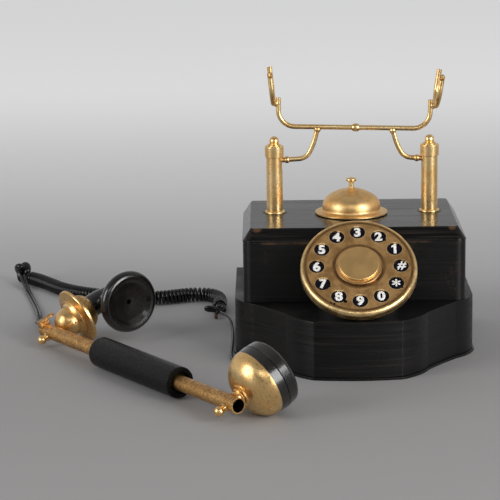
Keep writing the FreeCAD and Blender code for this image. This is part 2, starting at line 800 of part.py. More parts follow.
def post_collar(side):
    radius = POST_RADIUS + COLLAR_WALL
    bore = POST_RADIUS + RUNNING_GAP
    bottom = POST_TOP - COLLAR_DROP
    collar = turned(
        (bore, bottom),
        (radius - 0.3, bottom),
        (radius, bottom + 0.3),
        (radius, POST_TOP + COLLAR_ROOF - 0.8),
        (radius - 0.24, POST_TOP + COLLAR_ROOF - 0.24, radius - 0.8, POST_TOP + COLLAR_ROOF),
        (FINIAL_STUD, POST_TOP + COLLAR_ROOF),
        (FINIAL_STUD, POST_TOP),
        (bore, POST_TOP),
    )
    collar.translate(Vector(post_x(side), POST_Y, 0))
    return collar


def finial(side):
    base = POST_TOP + COLLAR_ROOF
    crown = base + FINIAL_HEIGHT - FINIAL_RADIUS
    nut = turned(
        (0, POST_TOP),
        (FINIAL_STUD, POST_TOP),
        (FINIAL_STUD, base),
        (FINIAL_RADIUS + 1.0, base),
        (FINIAL_RADIUS + 1.0, base + 1.0),
        (FINIAL_RADIUS - 0.6, base + 1.7),
        (FINIAL_RADIUS, crown),
        (FINIAL_RADIUS * math.sqrt(0.5), crown + FINIAL_RADIUS * math.sqrt(0.5), 0, crown + FINIAL_RADIUS),
    )
    nut.translate(Vector(post_x(side), POST_Y, 0))
    return nut


def plunger(side):
    rivet_end = CROSSBAR_TOP - CROSSBAR_THICKNESS
    shape = turned(
        (0, PLUNGER_TOP),
        (0, rivet_end - RIVET_HEAD),
        (RIVET_HEAD_RADIUS - 0.6, rivet_end - RIVET_HEAD),
        (RIVET_HEAD_RADIUS, rivet_end),
        (RIVET_RADIUS, rivet_end),
        (RIVET_RADIUS, CROSSBAR_TOP),
        (TAIL_RADIUS, CROSSBAR_TOP),
        (TAIL_RADIUS, PLUNGER_BOTTOM),
        (PLUNGER_RADIUS, PLUNGER_BOTTOM),
        (PLUNGER_RADIUS, PLUNGER_TOP),
    )
    shape.translate(Vector(post_x(side), POST_Y, 0))
    return shape


def bar_edges():
    bend_x = BAR_HALF - BAR_BEND
    slack = BAR_BEND * math.sqrt(0.5)

    def at(x, z):
        return Vector(x, 0, z)

    return [
        Part.LineSegment(at(-BAR_HALF, BAR_STUB), at(-BAR_HALF, BAR_BEND)).toShape(),
        Part.Arc(at(-BAR_HALF, BAR_BEND), at(-bend_x - slack, BAR_BEND - slack), at(-bend_x, 0)).toShape(),
        Part.LineSegment(at(-bend_x, 0), at(bend_x, 0)).toShape(),
        Part.Arc(at(bend_x, 0), at(bend_x + slack, BAR_BEND - slack), at(BAR_HALF, BAR_BEND)).toShape(),
        Part.LineSegment(at(BAR_HALF, BAR_BEND), at(BAR_HALF, BAR_STUB)).toShape(),
    ]


def cradle_bar():
    return moved(swept(bar_edges(), ROD_RADIUS), BAR_FRAME)


def bar_sleeve():
    sleeve = turned(
        (ROD_RADIUS, -SLEEVE_LENGTH / 2),
        (SLEEVE_RADIUS - 0.6, -SLEEVE_LENGTH / 2),
        (SLEEVE_RADIUS + 0.2, 0, SLEEVE_RADIUS - 0.6, SLEEVE_LENGTH / 2),
        (ROD_RADIUS, SLEEVE_LENGTH / 2),
    )
    seat = Placement(Vector(SLEEVE_SHIFT, 0, 0), Rotation(Vector(0, 1, 0), 90))
    return moved(sleeve, BAR_FRAME.multiply(seat))


def weld_blob(place):
    """A round weld, turned so that its own seam lies clear of the rods that it joins."""
    return Part.makeSphere(WELD_RADIUS, place, Vector(0.3, 1.0, 0.2))


def arm(side):
    """The rod from a plunger through the post's slot and up to the bar, where it ends inside its weld."""
    x = post_x(side)
    reach = arm_reach(side)
    bar_x = x - side * reach
    bar_z = BAR_HEIGHT - (bar_x - BAR_SHIFT) * math.tan(math.radians(BAR_LEAN))
    points = [
        (x, POST_Y, ARM_HEIGHT),
        (bar_x + side * ARM_ELBOW, POST_Y, ARM_HEIGHT + ARM_RISE),
        (bar_x + side * ARM_KNEE, POST_Y, (ARM_HEIGHT + bar_z) / 2),
        (bar_x, POST_Y, bar_z - ROD_RADIUS / 2),
    ]
    edges, _ = bent_path(points)
    bar_weld = weld_blob(Vector(bar_x + side * 0.2, POST_Y, bar_z - ROD_RADIUS))
    root_reach = POST_RADIUS + 2 * CLEAR_GAP + WELD_RADIUS
    root_weld = weld_blob(Vector(x - side * root_reach, POST_Y, ARM_HEIGHT + arm_slope(side) * root_reach))
    rod = swept(edges, ROD_RADIUS).fuse([bar_weld, root_weld])
    bar_length = 2 * (BAR_HALF - BAR_BEND)
    bar = Part.makeCylinder(ROD_RADIUS, bar_length, Vector(-bar_length / 2, 0, 0), Vector(1, 0, 0))
    return rod.cut([moved(bar, BAR_FRAME), cylinder(PLUNGER_RADIUS, PLUNGER_BOTTOM, PLUNGER_TOP, x, POST_Y)])


def right_fork():
    low = Vector(BAR_HALF + ROD_RADIUS + FORK_RADIUS, 0, FORK_RISE)
    lean = math.radians(FORK_LEAN)
    rise = Vector(math.sin(lean), 0, math.cos(lean))
    across = Vector(0, FORK_HALF_SPAN, 0)
    bend = rise * FORK_HALF_SPAN
    tip = rise * FORK_HEIGHT
    edges = [
        Part.LineSegment(low - across + tip, low - across + bend).toShape(),
        Part.Arc(low - across + bend, low, low + across + bend).toShape(),
        Part.LineSegment(low + across + bend, low + across + tip).toShape(),
    ]
    weld = weld_blob(low - Vector(FORK_RADIUS, 0, 0))
    stub = cylinder(ROD_RADIUS, BAR_BEND, BAR_STUB, BAR_HALF)
    slant = math.radians(FORK_TIP_SLANT)
    facing = Vector(0, -math.sin(slant), math.cos(slant))
    reach = 3 * FORK_RADIUS
    off_cut = block((-reach, -reach, 0), (reach, reach, 2 * reach))
    front_tip = Placement(low - across + tip + Vector(0, FORK_RADIUS, 0), Rotation(UP, facing))
    return swept(edges, FORK_RADIUS).fuse(weld).cut([swept(edges, FORK_BORE), stub, moved(off_cut, front_tip)])


def cradle_spring(side):
    foot = LID_HEIGHT + POST_LEDGE + SLIDING_GAP
    middle = (TAIL_RADIUS + POST_BORE) / 2
    spring = coil_spring(middle, PLUNGER_BOTTOM - foot - SLIDING_GAP, CRADLE_SPRING_TURNS)
    spring.translate(Vector(post_x(side), POST_Y, foot))
    return spring


def switch_crossbar():
    half = CROSSBAR_WIDTH / 2
    low = (post_x(-1) - half, POST_Y - half, CROSSBAR_TOP - CROSSBAR_THICKNESS)
    bar = block(low, (post_x(1) + half, POST_Y + half, CROSSBAR_TOP))
    for side in (-1, 1):
        bar = bar.cut(cylinder(RIVET_RADIUS, low[2], CROSSBAR_TOP, post_x(side), POST_Y))
    return bar


def switch_rear():
    """Where the hook switch's block starts, behind the cross bar's path."""
    return POST_Y + CROSSBAR_WIDTH / 2 + 3.0


def hook_contact_block():
    half = SWITCH_BLOCK / 2
    low = (SWITCH_X - half, switch_rear(), DECK_HEIGHT)
    high = (SWITCH_X + half, switch_rear() + SWITCH_BLOCK, LEAF_TOP - LEAF_THICKNESS)
    return block(low, high)


def hook_contact_fixed():
    half = LEAF_WIDTH / 2
    top = LEAF_TOP - CONTACT_GAP
    low = (SWITCH_X - half, POST_Y - half, top - LEAF_THICKNESS)
    return block(low, (SWITCH_X + half, switch_rear(), top))


def hook_contact_moving():
    half = LEAF_WIDTH / 2
    low = (SWITCH_X - half, POST_Y - half, LEAF_TOP - LEAF_THICKNESS)
    return block(low, (SWITCH_X + half, switch_rear() + SWITCH_BLOCK, LEAF_TOP))


# Bell


def dome_outline(depth):
    """The gong's outline at a depth below its outer face, as five points from the flat top out to the wall.

    They are the crown's start, its middle, where the shoulder takes over, the shoulder's middle and its foot.
    """
    crown = GONG_CROWN - depth
    shoulder = GONG_SHOULDER - depth
    top = LID_HEIGHT + GONG_HEIGHT
    crown_z = top - math.sqrt(GONG_CROWN ** 2 - GONG_POST_RADIUS ** 2)
    shoulder_x = GONG_RADIUS - GONG_SHOULDER
    joint = math.asin(shoulder_x / (GONG_CROWN - GONG_SHOULDER))
    shoulder_z = crown_z + (GONG_CROWN - GONG_SHOULDER) * math.cos(joint)
    start = math.acos((top - depth - crown_z) / crown)

    def on_crown(angle):
        return crown * math.sin(angle), crown_z + crown * math.cos(angle)

    def on_shoulder(angle):
        return shoulder_x + shoulder * math.sin(angle), shoulder_z + shoulder * math.cos(angle)

    middles = on_crown((start + joint) / 2), on_shoulder((joint + math.pi / 2) / 2)
    return on_crown(start), middles[0], on_crown(joint), middles[1], on_shoulder(math.pi / 2)


def bell_gong():
    brim = LID_HEIGHT + GONG_LIFT
    top = LID_HEIGHT + GONG_HEIGHT
    inner = GONG_RADIUS - GONG_WALL
    outside = dome_outline(0.0)
    inside = dome_outline(GONG_WALL)
    return turned(
        (GONG_NIPPLE_RADIUS, top - GONG_WALL),
        inside[0],
        inside[1] + inside[2],
        inside[3] + inside[4],
        (inner, brim),
        (GONG_BRIM_RADIUS, brim),
        (GONG_BRIM_RADIUS, brim + 0.8),
        (GONG_RADIUS + 1.8, brim + GONG_WALL),
        (GONG_RADIUS + 0.5, brim + GONG_WALL + 0.6, GONG_RADIUS, brim + 3.0),
        outside[4],
        outside[3] + outside[2],
        outside[1] + outside[0],
        (GONG_NIPPLE_RADIUS, top),
    )


def gong_post():
    top = LID_HEIGHT + GONG_HEIGHT
    seat = top - GONG_WALL
    guide = BUTTON_RADIUS + SLIDING_GAP
    guide_bottom = LID_HEIGHT + BUTTON_COLLAR_TOP + CLEAR_GAP
    spigot = GONG_POST_RADIUS - 1.0
    return turned(
        (guide, top + 0.6),
        (guide, guide_bottom),
        (GONG_POST_BORE, guide_bottom),
        (GONG_POST_BORE, LID_HEIGHT + 0.5),
        (guide, LID_HEIGHT + 0.5),
        (guide, LID_UNDER - 1.0),
        (GONG_POST_RADIUS, LID_UNDER - 1.0),
        (GONG_POST_RADIUS, LID_UNDER),
        (spigot, LID_UNDER),
        (spigot, LID_HEIGHT),
        (GONG_POST_RADIUS, LID_HEIGHT),
        (GONG_POST_RADIUS, seat - 0.6),
        (GONG_NIPPLE_RADIUS + 0.3, seat),
        (GONG_NIPPLE_RADIUS, seat),
        (GONG_NIPPLE_RADIUS, top),
        (GONG_NIPPLE_RADIUS + 0.9, top),
        (GONG_NIPPLE_RADIUS + 0.3, top + 0.6),
    )


def bell_button():
    head_top = LID_HEIGHT + BUTTON_TOP
    collar_top = LID_HEIGHT + BUTTON_COLLAR_TOP
    tip = PIVOT_HEIGHT + 0.8 + CLEAR_GAP
    return turned(
        (0, head_top),
        (0, tip),
        (0.8, tip),
        (BUTTON_RADIUS, tip + 1.6),
        (BUTTON_RADIUS, collar_top - BUTTON_COLLAR),
        (GONG_POST_BORE - SLIDING_GAP, collar_top - BUTTON_COLLAR),
        (GONG_POST_BORE - SLIDING_GAP, collar_top),
        (BUTTON_RADIUS, collar_top),
        (BUTTON_RADIUS, head_top - 3.6),
        (BUTTON_HEAD_RADIUS - 0.7, head_top - 3.0),
        (BUTTON_HEAD_RADIUS + 0.25, head_top - 1.8, BUTTON_HEAD_RADIUS - 0.7, head_top - 0.6),
    )


def button_spring():
    foot = LID_HEIGHT + 0.5 + SLIDING_GAP
    head = LID_HEIGHT + BUTTON_COLLAR_TOP - BUTTON_COLLAR - SLIDING_GAP
    spring = coil_spring((BUTTON_RADIUS + GONG_POST_BORE) / 2, head - foot, BUTTON_SPRING_TURNS)
    spring.translate(Vector(0, 0, foot))
    return spring


def clapper_bracket():
    near = CLAPPER_WIDTH / 2 + CLEAR_GAP
    far = near + SHEET
    left, right = CLAPPER_X - 4.0, CLAPPER_X + 4.0
    bottom = PIVOT_HEIGHT - 3.0
    back = block((right, -far, bottom), (right + SHEET, far, PIVOT_HEIGHT + 2.0))
    for sign in (-1, 1):
        low_y, high_y = sorted((sign * near, sign * far))
        back = back.fuse(block((left, low_y, bottom), (right + SHEET, high_y, LID_UNDER)))
        foot_low, foot_high = sorted((sign * near, sign * (far + 5.0)))
        back = back.fuse(block((left, foot_low, LID_UNDER - SHEET), (right, foot_high, LID_UNDER)))
    return back.removeSplitter().cut(pin_solid())


def pin_solid():
    reach = CLAPPER_WIDTH / 2 + CLEAR_GAP + SHEET + 0.8
    place = Vector(CLAPPER_X, -reach, PIVOT_HEIGHT)
    return Part.makeCylinder(CLAPPER_PIN_RADIUS, 2 * reach, place, Vector(0, 1, 0))


def clapper():
    half = CLAPPER_WIDTH / 2
    pivot = Vector(CLAPPER_X, 0, PIVOT_HEIGHT)
    hammer = Vector(HAMMER_X, 0, LID_HEIGHT + HAMMER_HEIGHT)
    hub = Part.makeCylinder(CLAPPER_HUB, CLAPPER_WIDTH, pivot - Vector(0, half, 0), Vector(0, 1, 0))
    lever = block((-1.5, -half + 0.5, PIVOT_HEIGHT - 0.8), (CLAPPER_X, half - 0.5, PIVOT_HEIGHT + 0.8))
    stem = Part.makeCylinder(0.9, (hammer - pivot).Length, pivot, hammer - pivot)
    bore = Part.makeCylinder(
        CLAPPER_PIN_RADIUS + RUNNING_GAP, CLAPPER_WIDTH, pivot - Vector(0, half, 0), Vector(0, 1, 0)
    )
    shape = hub.fuse([lever, stem, Part.makeSphere(HAMMER_RADIUS, hammer)])
    return shape.cut(bore).removeSplitter()


# Dial, in the dial's frame: the finger wheel's front face is at height zero and the pieces lie behind it


def finger_wheel():
    inner = DIAL_RADIUS - DIAL_SHEET
    corner = DIAL_RIM_ROUND
    slack = corner * (1 - math.sqrt(0.5))
    inner_corner = corner - DIAL_SHEET
    inner_slack = inner_corner * (1 - math.sqrt(0.5))
    wheel = turned(
        (CAP_SPIGOT, 0),
        (CAP_SPIGOT, -DIAL_SHEET),
        (inner - inner_corner, -DIAL_SHEET),
        (inner - inner_slack, -DIAL_SHEET - inner_slack, inner, -DIAL_SHEET - inner_corner),
        (inner, -DIAL_SKIRT),
        (DIAL_RADIUS, -DIAL_SKIRT),
        (DIAL_RADIUS, -corner),
        (DIAL_RADIUS - slack, -slack, DIAL_RADIUS - corner, 0),
    )
    holes = []
    for index in range(FINGER_HOLES):
        angle = 2 * math.pi * index / FINGER_HOLES
        x = FINGER_RING_RADIUS * math.cos(angle)
        y = FINGER_RING_RADIUS * math.sin(angle)
        holes.append(cylinder(FINGER_HOLE_RADIUS, -DIAL_SHEET, 0, x, y))
    return wheel.cut(holes)


def dial_centre_cap():
    return turned(
        (0, CAP_HEIGHT),
        (0, -DIAL_SHEET),
        (CAP_SPIGOT, -DIAL_SHEET),
        (CAP_SPIGOT, 0),
        (CAP_RADIUS, 0),
        (CAP_RADIUS - 0.25, 1.0, CAP_RADIUS - 1.1, 1.3),
        (CAP_TOP_RADIUS, 1.5),
        (CAP_TOP_RADIUS, CAP_HEIGHT - 1.0),
        (CAP_TOP_RADIUS - 0.3, CAP_HEIGHT - 0.3, CAP_TOP_RADIUS - 1.0, CAP_HEIGHT),
    )


def dial_shaft():
    flange = NUMBER_PLATE_HOLE - 1.0
    return turned(
        (0, -DIAL_SHEET),
        (0, -SHAFT_END),
        (SHAFT_RADIUS - 0.4, -SHAFT_END),
        (SHAFT_RADIUS, -SHAFT_END + 0.4),
        (SHAFT_RADIUS, -DIAL_SHEET - SHAFT_FLANGE),
        (flange, -DIAL_SHEET - SHAFT_FLANGE),
        (flange, -DIAL_SHEET),
    )


def number_plate():
    radius = DIAL_RADIUS - DIAL_SHEET - NUMBER_PLATE_GAP
    return ring(radius, NUMBER_PLATE_HOLE, -NUMBER_PLATE_DEPTH, -DRUM_FRONT)


def dial_drum():
    """The drum that stands in the corner of deck and body, cut to both."""
    deep = 3 * DRUM_RADIUS
    drum = cylinder(DRUM_RADIUS, -DRUM_FRONT, -deep).cut(
        cylinder(DRUM_RADIUS - DRUM_WALL, -DRUM_FLOOR, -deep)
    )
    drum = drum.cut(cylinder(BUSH_RADIUS, -DRUM_FRONT, -DRUM_FLOOR))
    drum = drum.cut(cylinder(PINION_SHAFT_RADIUS + RUNNING_GAP, -DRUM_FRONT, -DRUM_FLOOR, PINION_X, PINION_Y))
    for side in (-1, 1):
        drum = drum.cut(cylinder(PILLAR_RADIUS / 2, -DRUM_FRONT, -DRUM_FLOOR, side * PILLAR_PLACE, 0))
    reach = 4 * DRUM_RADIUS
    body = block((-reach, BODY_FRONT, -reach), (reach, BODY_FRONT + 2 * reach, 2 * reach))
    deck = block((-reach, -2 * reach, -reach), (reach, 2 * reach, DECK_HEIGHT))
    return moved(drum, DIAL_FRAME).cut([body, deck])


def dial_bush():
    bore = SHAFT_RADIUS + RUNNING_GAP
    front = DIAL_SHEET + SHAFT_FLANGE + CLEAR_GAP
    return turned(
        (bore, -front),
        (bore, -BUSH_END),
        (BUSH_RADIUS + 1.5, -BUSH_END),
        (BUSH_RADIUS + 1.5, -DRUM_FLOOR),
        (BUSH_RADIUS, -DRUM_FLOOR),
        (BUSH_RADIUS, -front),
    )


def bridge_plate():
    wide = DRUM_RADIUS - DRUM_WALL - 0.8
    low = (-wide, PINION_Y - 4.0, -BRIDGE_DEPTH - BRIDGE_THICKNESS)
    plate = block(low, (wide, 8.0, -BRIDGE_DEPTH)).common(cylinder(wide, -BRIDGE_DEPTH, low[2]))
    plate = plate.cut(cylinder(SHAFT_RADIUS + RUNNING_GAP, low[2], -BRIDGE_DEPTH))
    plate = plate.cut(cylinder(PINION_SHAFT_RADIUS + RUNNING_GAP, low[2], -BRIDGE_DEPTH, PINION_X, PINION_Y))
    for side in (-1, 1):
        plate = plate.cut(cylinder(PILLAR_RADIUS / 2, low[2], -BRIDGE_DEPTH, side * PILLAR_PLACE, 0))
    return plate


def pillar(side):
    x = side * PILLAR_PLACE
    stem = cylinder(PILLAR_RADIUS, -DRUM_FLOOR, -BRIDGE_DEPTH, x, 0)
    return stem.fuse(cylinder(PILLAR_RADIUS / 2, -DRUM_FRONT, -BRIDGE_DEPTH - BRIDGE_THICKNESS, x, 0))


def main_gear():
    gap_turn = PINION_DIRECTION + 180.0 / GEAR_TEETH
    teeth = gear_blank(GEAR_TEETH, GEAR_THICKNESS, GEAR_BACKLASH, gap_turn)
    teeth.translate(Vector(0, 0, -GEAR_DEPTH - GEAR_THICKNESS))
    hub = cylinder(GEAR_HUB_RADIUS, -BUSH_END - CLEAR_GAP, -GEAR_DEPTH - GEAR_THICKNESS - 1.0)
    return teeth.fuse(hub).cut(cylinder(SHAFT_RADIUS, 0, -SHAFT_END)).removeSplitter()


def pulse_pinion():
    teeth = gear_blank(PINION_TEETH, GEAR_THICKNESS + 0.4, GEAR_BACKLASH, PINION_DIRECTION + 180)
    teeth.translate(Vector(0, 0, -GEAR_DEPTH - GEAR_THICKNESS - 0.2))
    shaft = cylinder(PINION_SHAFT_RADIUS, -DRUM_FLOOR + 1.0, -BRIDGE_DEPTH - BRIDGE_THICKNESS + 0.4)
    cam = cylinder(CAM_RADIUS, -CAM_DEPTH, -CAM_DEPTH - CAM_THICKNESS)
    flat = 0.75 * CAM_RADIUS
    cam = cam.common(block((-CAM_RADIUS, -flat, -CAM_DEPTH - CAM_THICKNESS), (CAM_RADIUS, flat, -CAM_DEPTH)))
    rotor = teeth.fuse([shaft, cam]).removeSplitter()
    rotor.translate(Vector(PINION_X, PINION_Y, 0))
    return rotor


def pulse_contacts():
    """An insulating block on the bridge and two leaves that reach to the cam."""
    right = PINION_X - CAM_RADIUS - CLEAR_GAP
    left = right - 11.0
    low_y = PINION_Y - 2.5
    top = -CAM_DEPTH + 0.2
    solids = [block((left, low_y, -BRIDGE_DEPTH), (left + 5.0, low_y + 5.0, top))]
    for place in (low_y + 1.0, low_y + 3.4):
        leaf_low = (left + 5.0, place, -BRIDGE_DEPTH + 1.2)
        solids.append(block(leaf_low, (right, place + LEAF_THICKNESS, top)))
    return Part.makeCompound(solids)


def dial_spring():
    """A flat spiral of half circles round the gear's hub, with a tail that reaches a pillar."""
    start = GEAR_HUB_RADIUS + 0.2
    step = SPIRAL_STEP / 2
    edges = {}
    for name, first in (("inside", start), ("outside", start + SPIRAL_STRIP)):
        x = first
        chain = []
        for index in range(2 * SPIRAL_TURNS - 1):
            side = 1 if index % 2 == 0 else -1
            span = 2 * first + (2 * index + 1) * step
            radius = span / 2
            centre = x - side * radius
            a = Vector(x, 0, 0)
            b = Vector(x - side * span, 0, 0)
            chain.append(Part.Arc(a, Vector(centre, side * radius, 0), b).toShape())
            x = b.x
        edges[name] = (chain, Vector(first, 0, 0), Vector(x, 0, 0))
    inside, inside_start, inside_end = edges["inside"]
    outside, outside_start, outside_end = edges["outside"]
    tail_x = -PILLAR_PLACE + PILLAR_RADIUS + SLIDING_GAP
    wire = Part.Wire(
        Part.__sortEdges__(
            inside
            + outside
            + [
                Part.LineSegment(inside_start, outside_start).toShape(),
                Part.LineSegment(inside_end, outside_end).toShape(),
            ]
        )
    )
    strip = upright(wire, SPIRAL_WIDTH)
    tail = block((tail_x, -SPIRAL_STRIP, 0), (outside_end.x + SPIRAL_STRIP, 0, SPIRAL_WIDTH))
    spring = strip.fuse(tail).removeSplitter()
    spring.translate(Vector(0, 0, -BUSH_END - CLEAR_GAP - 0.4 - SPIRAL_WIDTH))
    return spring


# Handset, in its own frame


def along_tube(radius, start, end):
    """A cylinder on the tube's axis."""
    return Part.makeCylinder(radius, end - start, Vector(start, 0, 0), Vector(1, 0, 0))


def cup_places():
    """Where the two cups' bolts cross the tube."""
    return [MOUTH_INSET, EAR_X]


def handset_tube():
    tube = along_tube(TUBE_RADIUS, 0, TUBE_LENGTH).cut(along_tube(TUBE_BORE, 0, TUBE_LENGTH))
    for x in cup_places():
        tube = tube.cut(cylinder(BOLT_RADIUS, -2 * TUBE_RADIUS, 2 * TUBE_RADIUS, x, 0))
    return tube


def handset_grip():
    half = GRIP_LENGTH / 2
    slack = GRIP_ROUND * (1 - math.sqrt(0.5))
    bore = TUBE_RADIUS + SLIDING_GAP
    recess = GRIP_RADIUS - GRIP_WALL
    sleeve = turned(
        (bore, GRIP_RECESS - half),
        (recess, GRIP_RECESS - half),
        (recess, -half),
        (GRIP_RADIUS - GRIP_ROUND, -half),
        (GRIP_RADIUS - slack, -half + slack, GRIP_RADIUS, -half + GRIP_ROUND),
        (GRIP_RADIUS, half - GRIP_ROUND),
        (GRIP_RADIUS - slack, half - slack, GRIP_RADIUS - GRIP_ROUND, half),
        (recess, half),
        (recess, half - GRIP_RECESS),
        (bore, half - GRIP_RECESS),
    )
    return moved(sleeve, Placement(Vector(GRIP_START + half, 0, 0), Rotation(Vector(0, 1, 0), 90)))


def cup_bolt(x):
    head = BOLT_BALL_CENTRE
    neck = 0.6 * BOLT_BALL
    meet = math.sqrt(BOLT_BALL**2 - neck**2)
    bolt = turned(
        (0, BALL_CENTRE - 4.0),
        (0, -head - BOLT_BALL),
        (BOLT_BALL, -head, neck, -head + meet),
        (neck, -TUBE_RADIUS - 1.4),
        (BOLT_BALL - 0.2, -TUBE_RADIUS - 1.4),
        (BOLT_BALL - 0.2, -TUBE_RADIUS),
        (BOLT_RADIUS, -TUBE_RADIUS),
        (BOLT_RADIUS, BALL_CENTRE - 4.0),
    )
    bolt.translate(Vector(x, 0, 0))
    return bolt


def earpiece_shell():
    foot = TUBE_RADIUS - 1.0
    shell = turned(
        (BOLT_RADIUS, foot),
        (4.4, foot),
        (4.4, 6.0),
        (5.6, 6.6, 4.6, 7.4),
        (7.2, 7.6),
        (7.4, 8.6),
        (17.0, 12.6, EAR_RADIUS, EAR_RIM),
        (EAR_RADIUS - EAR_WALL, EAR_RIM),
        (17.0 - EAR_WALL, 13.9, 7.0, 10.2),
        (BOLT_RADIUS, 10.2),
    )
    shell.translate(Vector(EAR_X, 0, 0))
    return shell.cut(along_tube(TUBE_RADIUS, 0, TUBE_LENGTH))


def earpiece_cap():
    top = EAR_RIM + EAR_CAP_DEPTH
    groove = EAR_RIM + 0.42 * EAR_CAP_DEPTH
    inner = EAR_RADIUS - 1.6
    cap = turned(
        (0, top - 1.6),
        (0, top - 3.4),
        (inner, top - 3.4),
        (inner, EAR_RIM),
        (EAR_RADIUS, EAR_RIM),
        (EAR_RADIUS + 0.3, groove - 0.4),
        (EAR_RADIUS - 0.2, groove),
        (EAR_RADIUS + 0.3, groove + 0.4),
        (EAR_RADIUS - 0.2, top - 3.2),
        (EAR_RADIUS - 1.2, top - 0.9, EAR_RADIUS - 3.6, top),
        (EAR_RADIUS - 6.0, top),
        (EAR_RADIUS - 9.0, top - 1.0, EAR_RADIUS - 12.0, top - 1.6),
    )
    holes = [cylinder(1.2, top - 4.0, top)]
    for index in range(6):
        angle = math.pi / 3 * index
        holes.append(cylinder(1.2, top - 4.0, top, 5.5 * math.cos(angle), 5.5 * math.sin(angle)))
    cap = cap.cut(holes)
    cap.translate(Vector(EAR_X, 0, 0))
    return cap


def receiver_capsule():
    radius = EAR_RADIUS - 1.6 - SLIDING_GAP
    top = EAR_RIM + EAR_CAP_DEPTH - 3.4
    capsule = turned(
        (0, top),
        (0, top - 10.0),
        (0.55 * radius, top - 10.0),
        (0.6 * radius, top - 6.0),
        (radius, top - 6.0),
        (radius, top),
    )
    capsule.translate(Vector(EAR_X, 0, 0))
    return capsule


def transmitter_shell():
    low = BALL_CENTRE - BALL_RADIUS
    neck_z = BALL_CENTRE + 0.2 * BALL_RADIUS
    neck_r = math.sqrt(BALL_RADIUS**2 - (neck_z - BALL_CENTRE) ** 2)
    pocket = MOUTH_DRUM_RADIUS - EAR_WALL
    shell = turned(
        (0, SAUCER_RIM - 4.0),
        (0, low),
        (BALL_RADIUS, BALL_CENTRE, neck_r, neck_z),
        (neck_r + 0.9, neck_z + 0.5),
        (12.4, SAUCER_RIM - 4.3),
        (13.6, SAUCER_RIM - 3.9, 13.4, SAUCER_RIM - 3.2),
        (SAUCER_RADIUS - 0.3, SAUCER_RIM - 1.9),
        (SAUCER_RADIUS, SAUCER_RIM - 1.5),
        (SAUCER_RADIUS, SAUCER_RIM),
        (pocket, SAUCER_RIM),
        (pocket, SAUCER_RIM - 2.0),
        (4.0, SAUCER_RIM - 4.0),
    )
    shell.translate(Vector(MOUTH_INSET, 0, 0))
    bolt = cylinder(BOLT_RADIUS, 0, BALL_CENTRE - 4.0, MOUTH_INSET, 0)
    turn = math.radians(DOME_HOLE_TURN)
    facing = Vector(math.cos(turn), math.sin(turn), 0)
    floor = Vector(MOUTH_INSET, 0, BALL_CENTRE) + facing * (BALL_RADIUS - 2.0)
    drilled = Part.makeCylinder(DOME_HOLE_RADIUS, 4.0, floor, facing)
    return shell.cut([along_tube(TUBE_RADIUS, 0, TUBE_LENGTH), bolt, drilled])


def transmitter_drum():
    inner = MOUTH_DRUM_RADIUS - EAR_WALL
    drum = turned(
        (inner, SAUCER_RIM),
        (MOUTH_DRUM_NECK, SAUCER_RIM),
        (MOUTH_DRUM_NECK, SAUCER_RIM + MOUTH_DRUM_GROOVE),
        (MOUTH_DRUM_RADIUS, SAUCER_RIM + MOUTH_DRUM_GROOVE),
        (MOUTH_DRUM_RADIUS + 0.1, SAUCER_RIM + 3.2, MOUTH_DRUM_RADIUS - 0.6, SAUCER_RIM + 5.4),
        (MOUTH_DRUM_RADIUS - 2.0, HORN_BASE - 1.6, HORN_RADIUS + 1.2, HORN_BASE),
        (HORN_RADIUS - HORN_WALL, HORN_BASE),
        (HORN_RADIUS - HORN_WALL, HORN_BASE - 1.8),
        (inner - 2.0, SAUCER_RIM + 5.2),
        (inner, SAUCER_RIM + 4.8),
    )
    drum.translate(Vector(MOUTH_INSET, 0, 0))
    return drum


def transmitter_capsule():
    radius = MOUTH_DRUM_RADIUS - EAR_WALL - SLIDING_GAP
    capsule = turned(
        (0, SAUCER_RIM + 4.4),
        (0, SAUCER_RIM - 1.4),
        (radius, SAUCER_RIM - 1.4),
        (radius, SAUCER_RIM + 3.4),
        (radius - 2.0, SAUCER_RIM + 4.4),
    )
    capsule.translate(Vector(MOUTH_INSET, 0, 0))
    return capsule


def horn_loft(shrink):
    """The elbow horn's outside, or its bore when shrunk."""
    bend = HORN_RISE - 4.0
    slack = bend * (1 - math.sqrt(0.5))
    stations = [
        (MOUTH_INSET, HORN_BASE, 90, HORN_RADIUS),
        (MOUTH_INSET, HORN_BASE + 4.0, 90, HORN_RADIUS - 0.4),
        (MOUTH_INSET + slack, HORN_AXIS - slack, 45, HORN_RADIUS),
        (MOUTH_INSET + bend, HORN_AXIS, 0, HORN_RADIUS + 1.6),
        (DISC_BACK - 3.4, HORN_AXIS, 0, 0.5 * (HORN_RADIUS + HORN_FLARE)),
        (DISC_BACK, HORN_AXIS, 0, HORN_FLARE),
    ]
    wires = []
    for x, z, angle, radius in stations:
        heading = Vector(math.cos(math.radians(angle)), 0, math.sin(math.radians(angle)))
        wires.append(section(Vector(x, 0, z), heading, radius - shrink))
    return outward(Part.makeLoft(wires, True, False))


def horn():
    return horn_loft(0).cut(horn_loft(HORN_WALL))


def mouth_disc():
    rim = DISC_THICKNESS / 2
    disc = turned(
        (DISC_HOLE, 0),
        (DISC_RADIUS - 0.8 * rim, 0),
        (DISC_RADIUS, 0.9 * rim, DISC_RADIUS - 0.9 * rim, DISC_THICKNESS),
        (DISC_RADIUS - 5.6, DISC_THICKNESS - 0.4),
        (DISC_RADIUS - 8.0, DISC_THICKNESS - 2.0),
        (DISC_RADIUS - 9.4, DISC_THICKNESS - 2.2),
        (DISC_HOLE, DISC_THICKNESS - 3.2),
    )
    return moved(disc, Placement(Vector(DISC_BACK, 0, HORN_AXIS), Rotation(Vector(0, 1, 0), 90)))


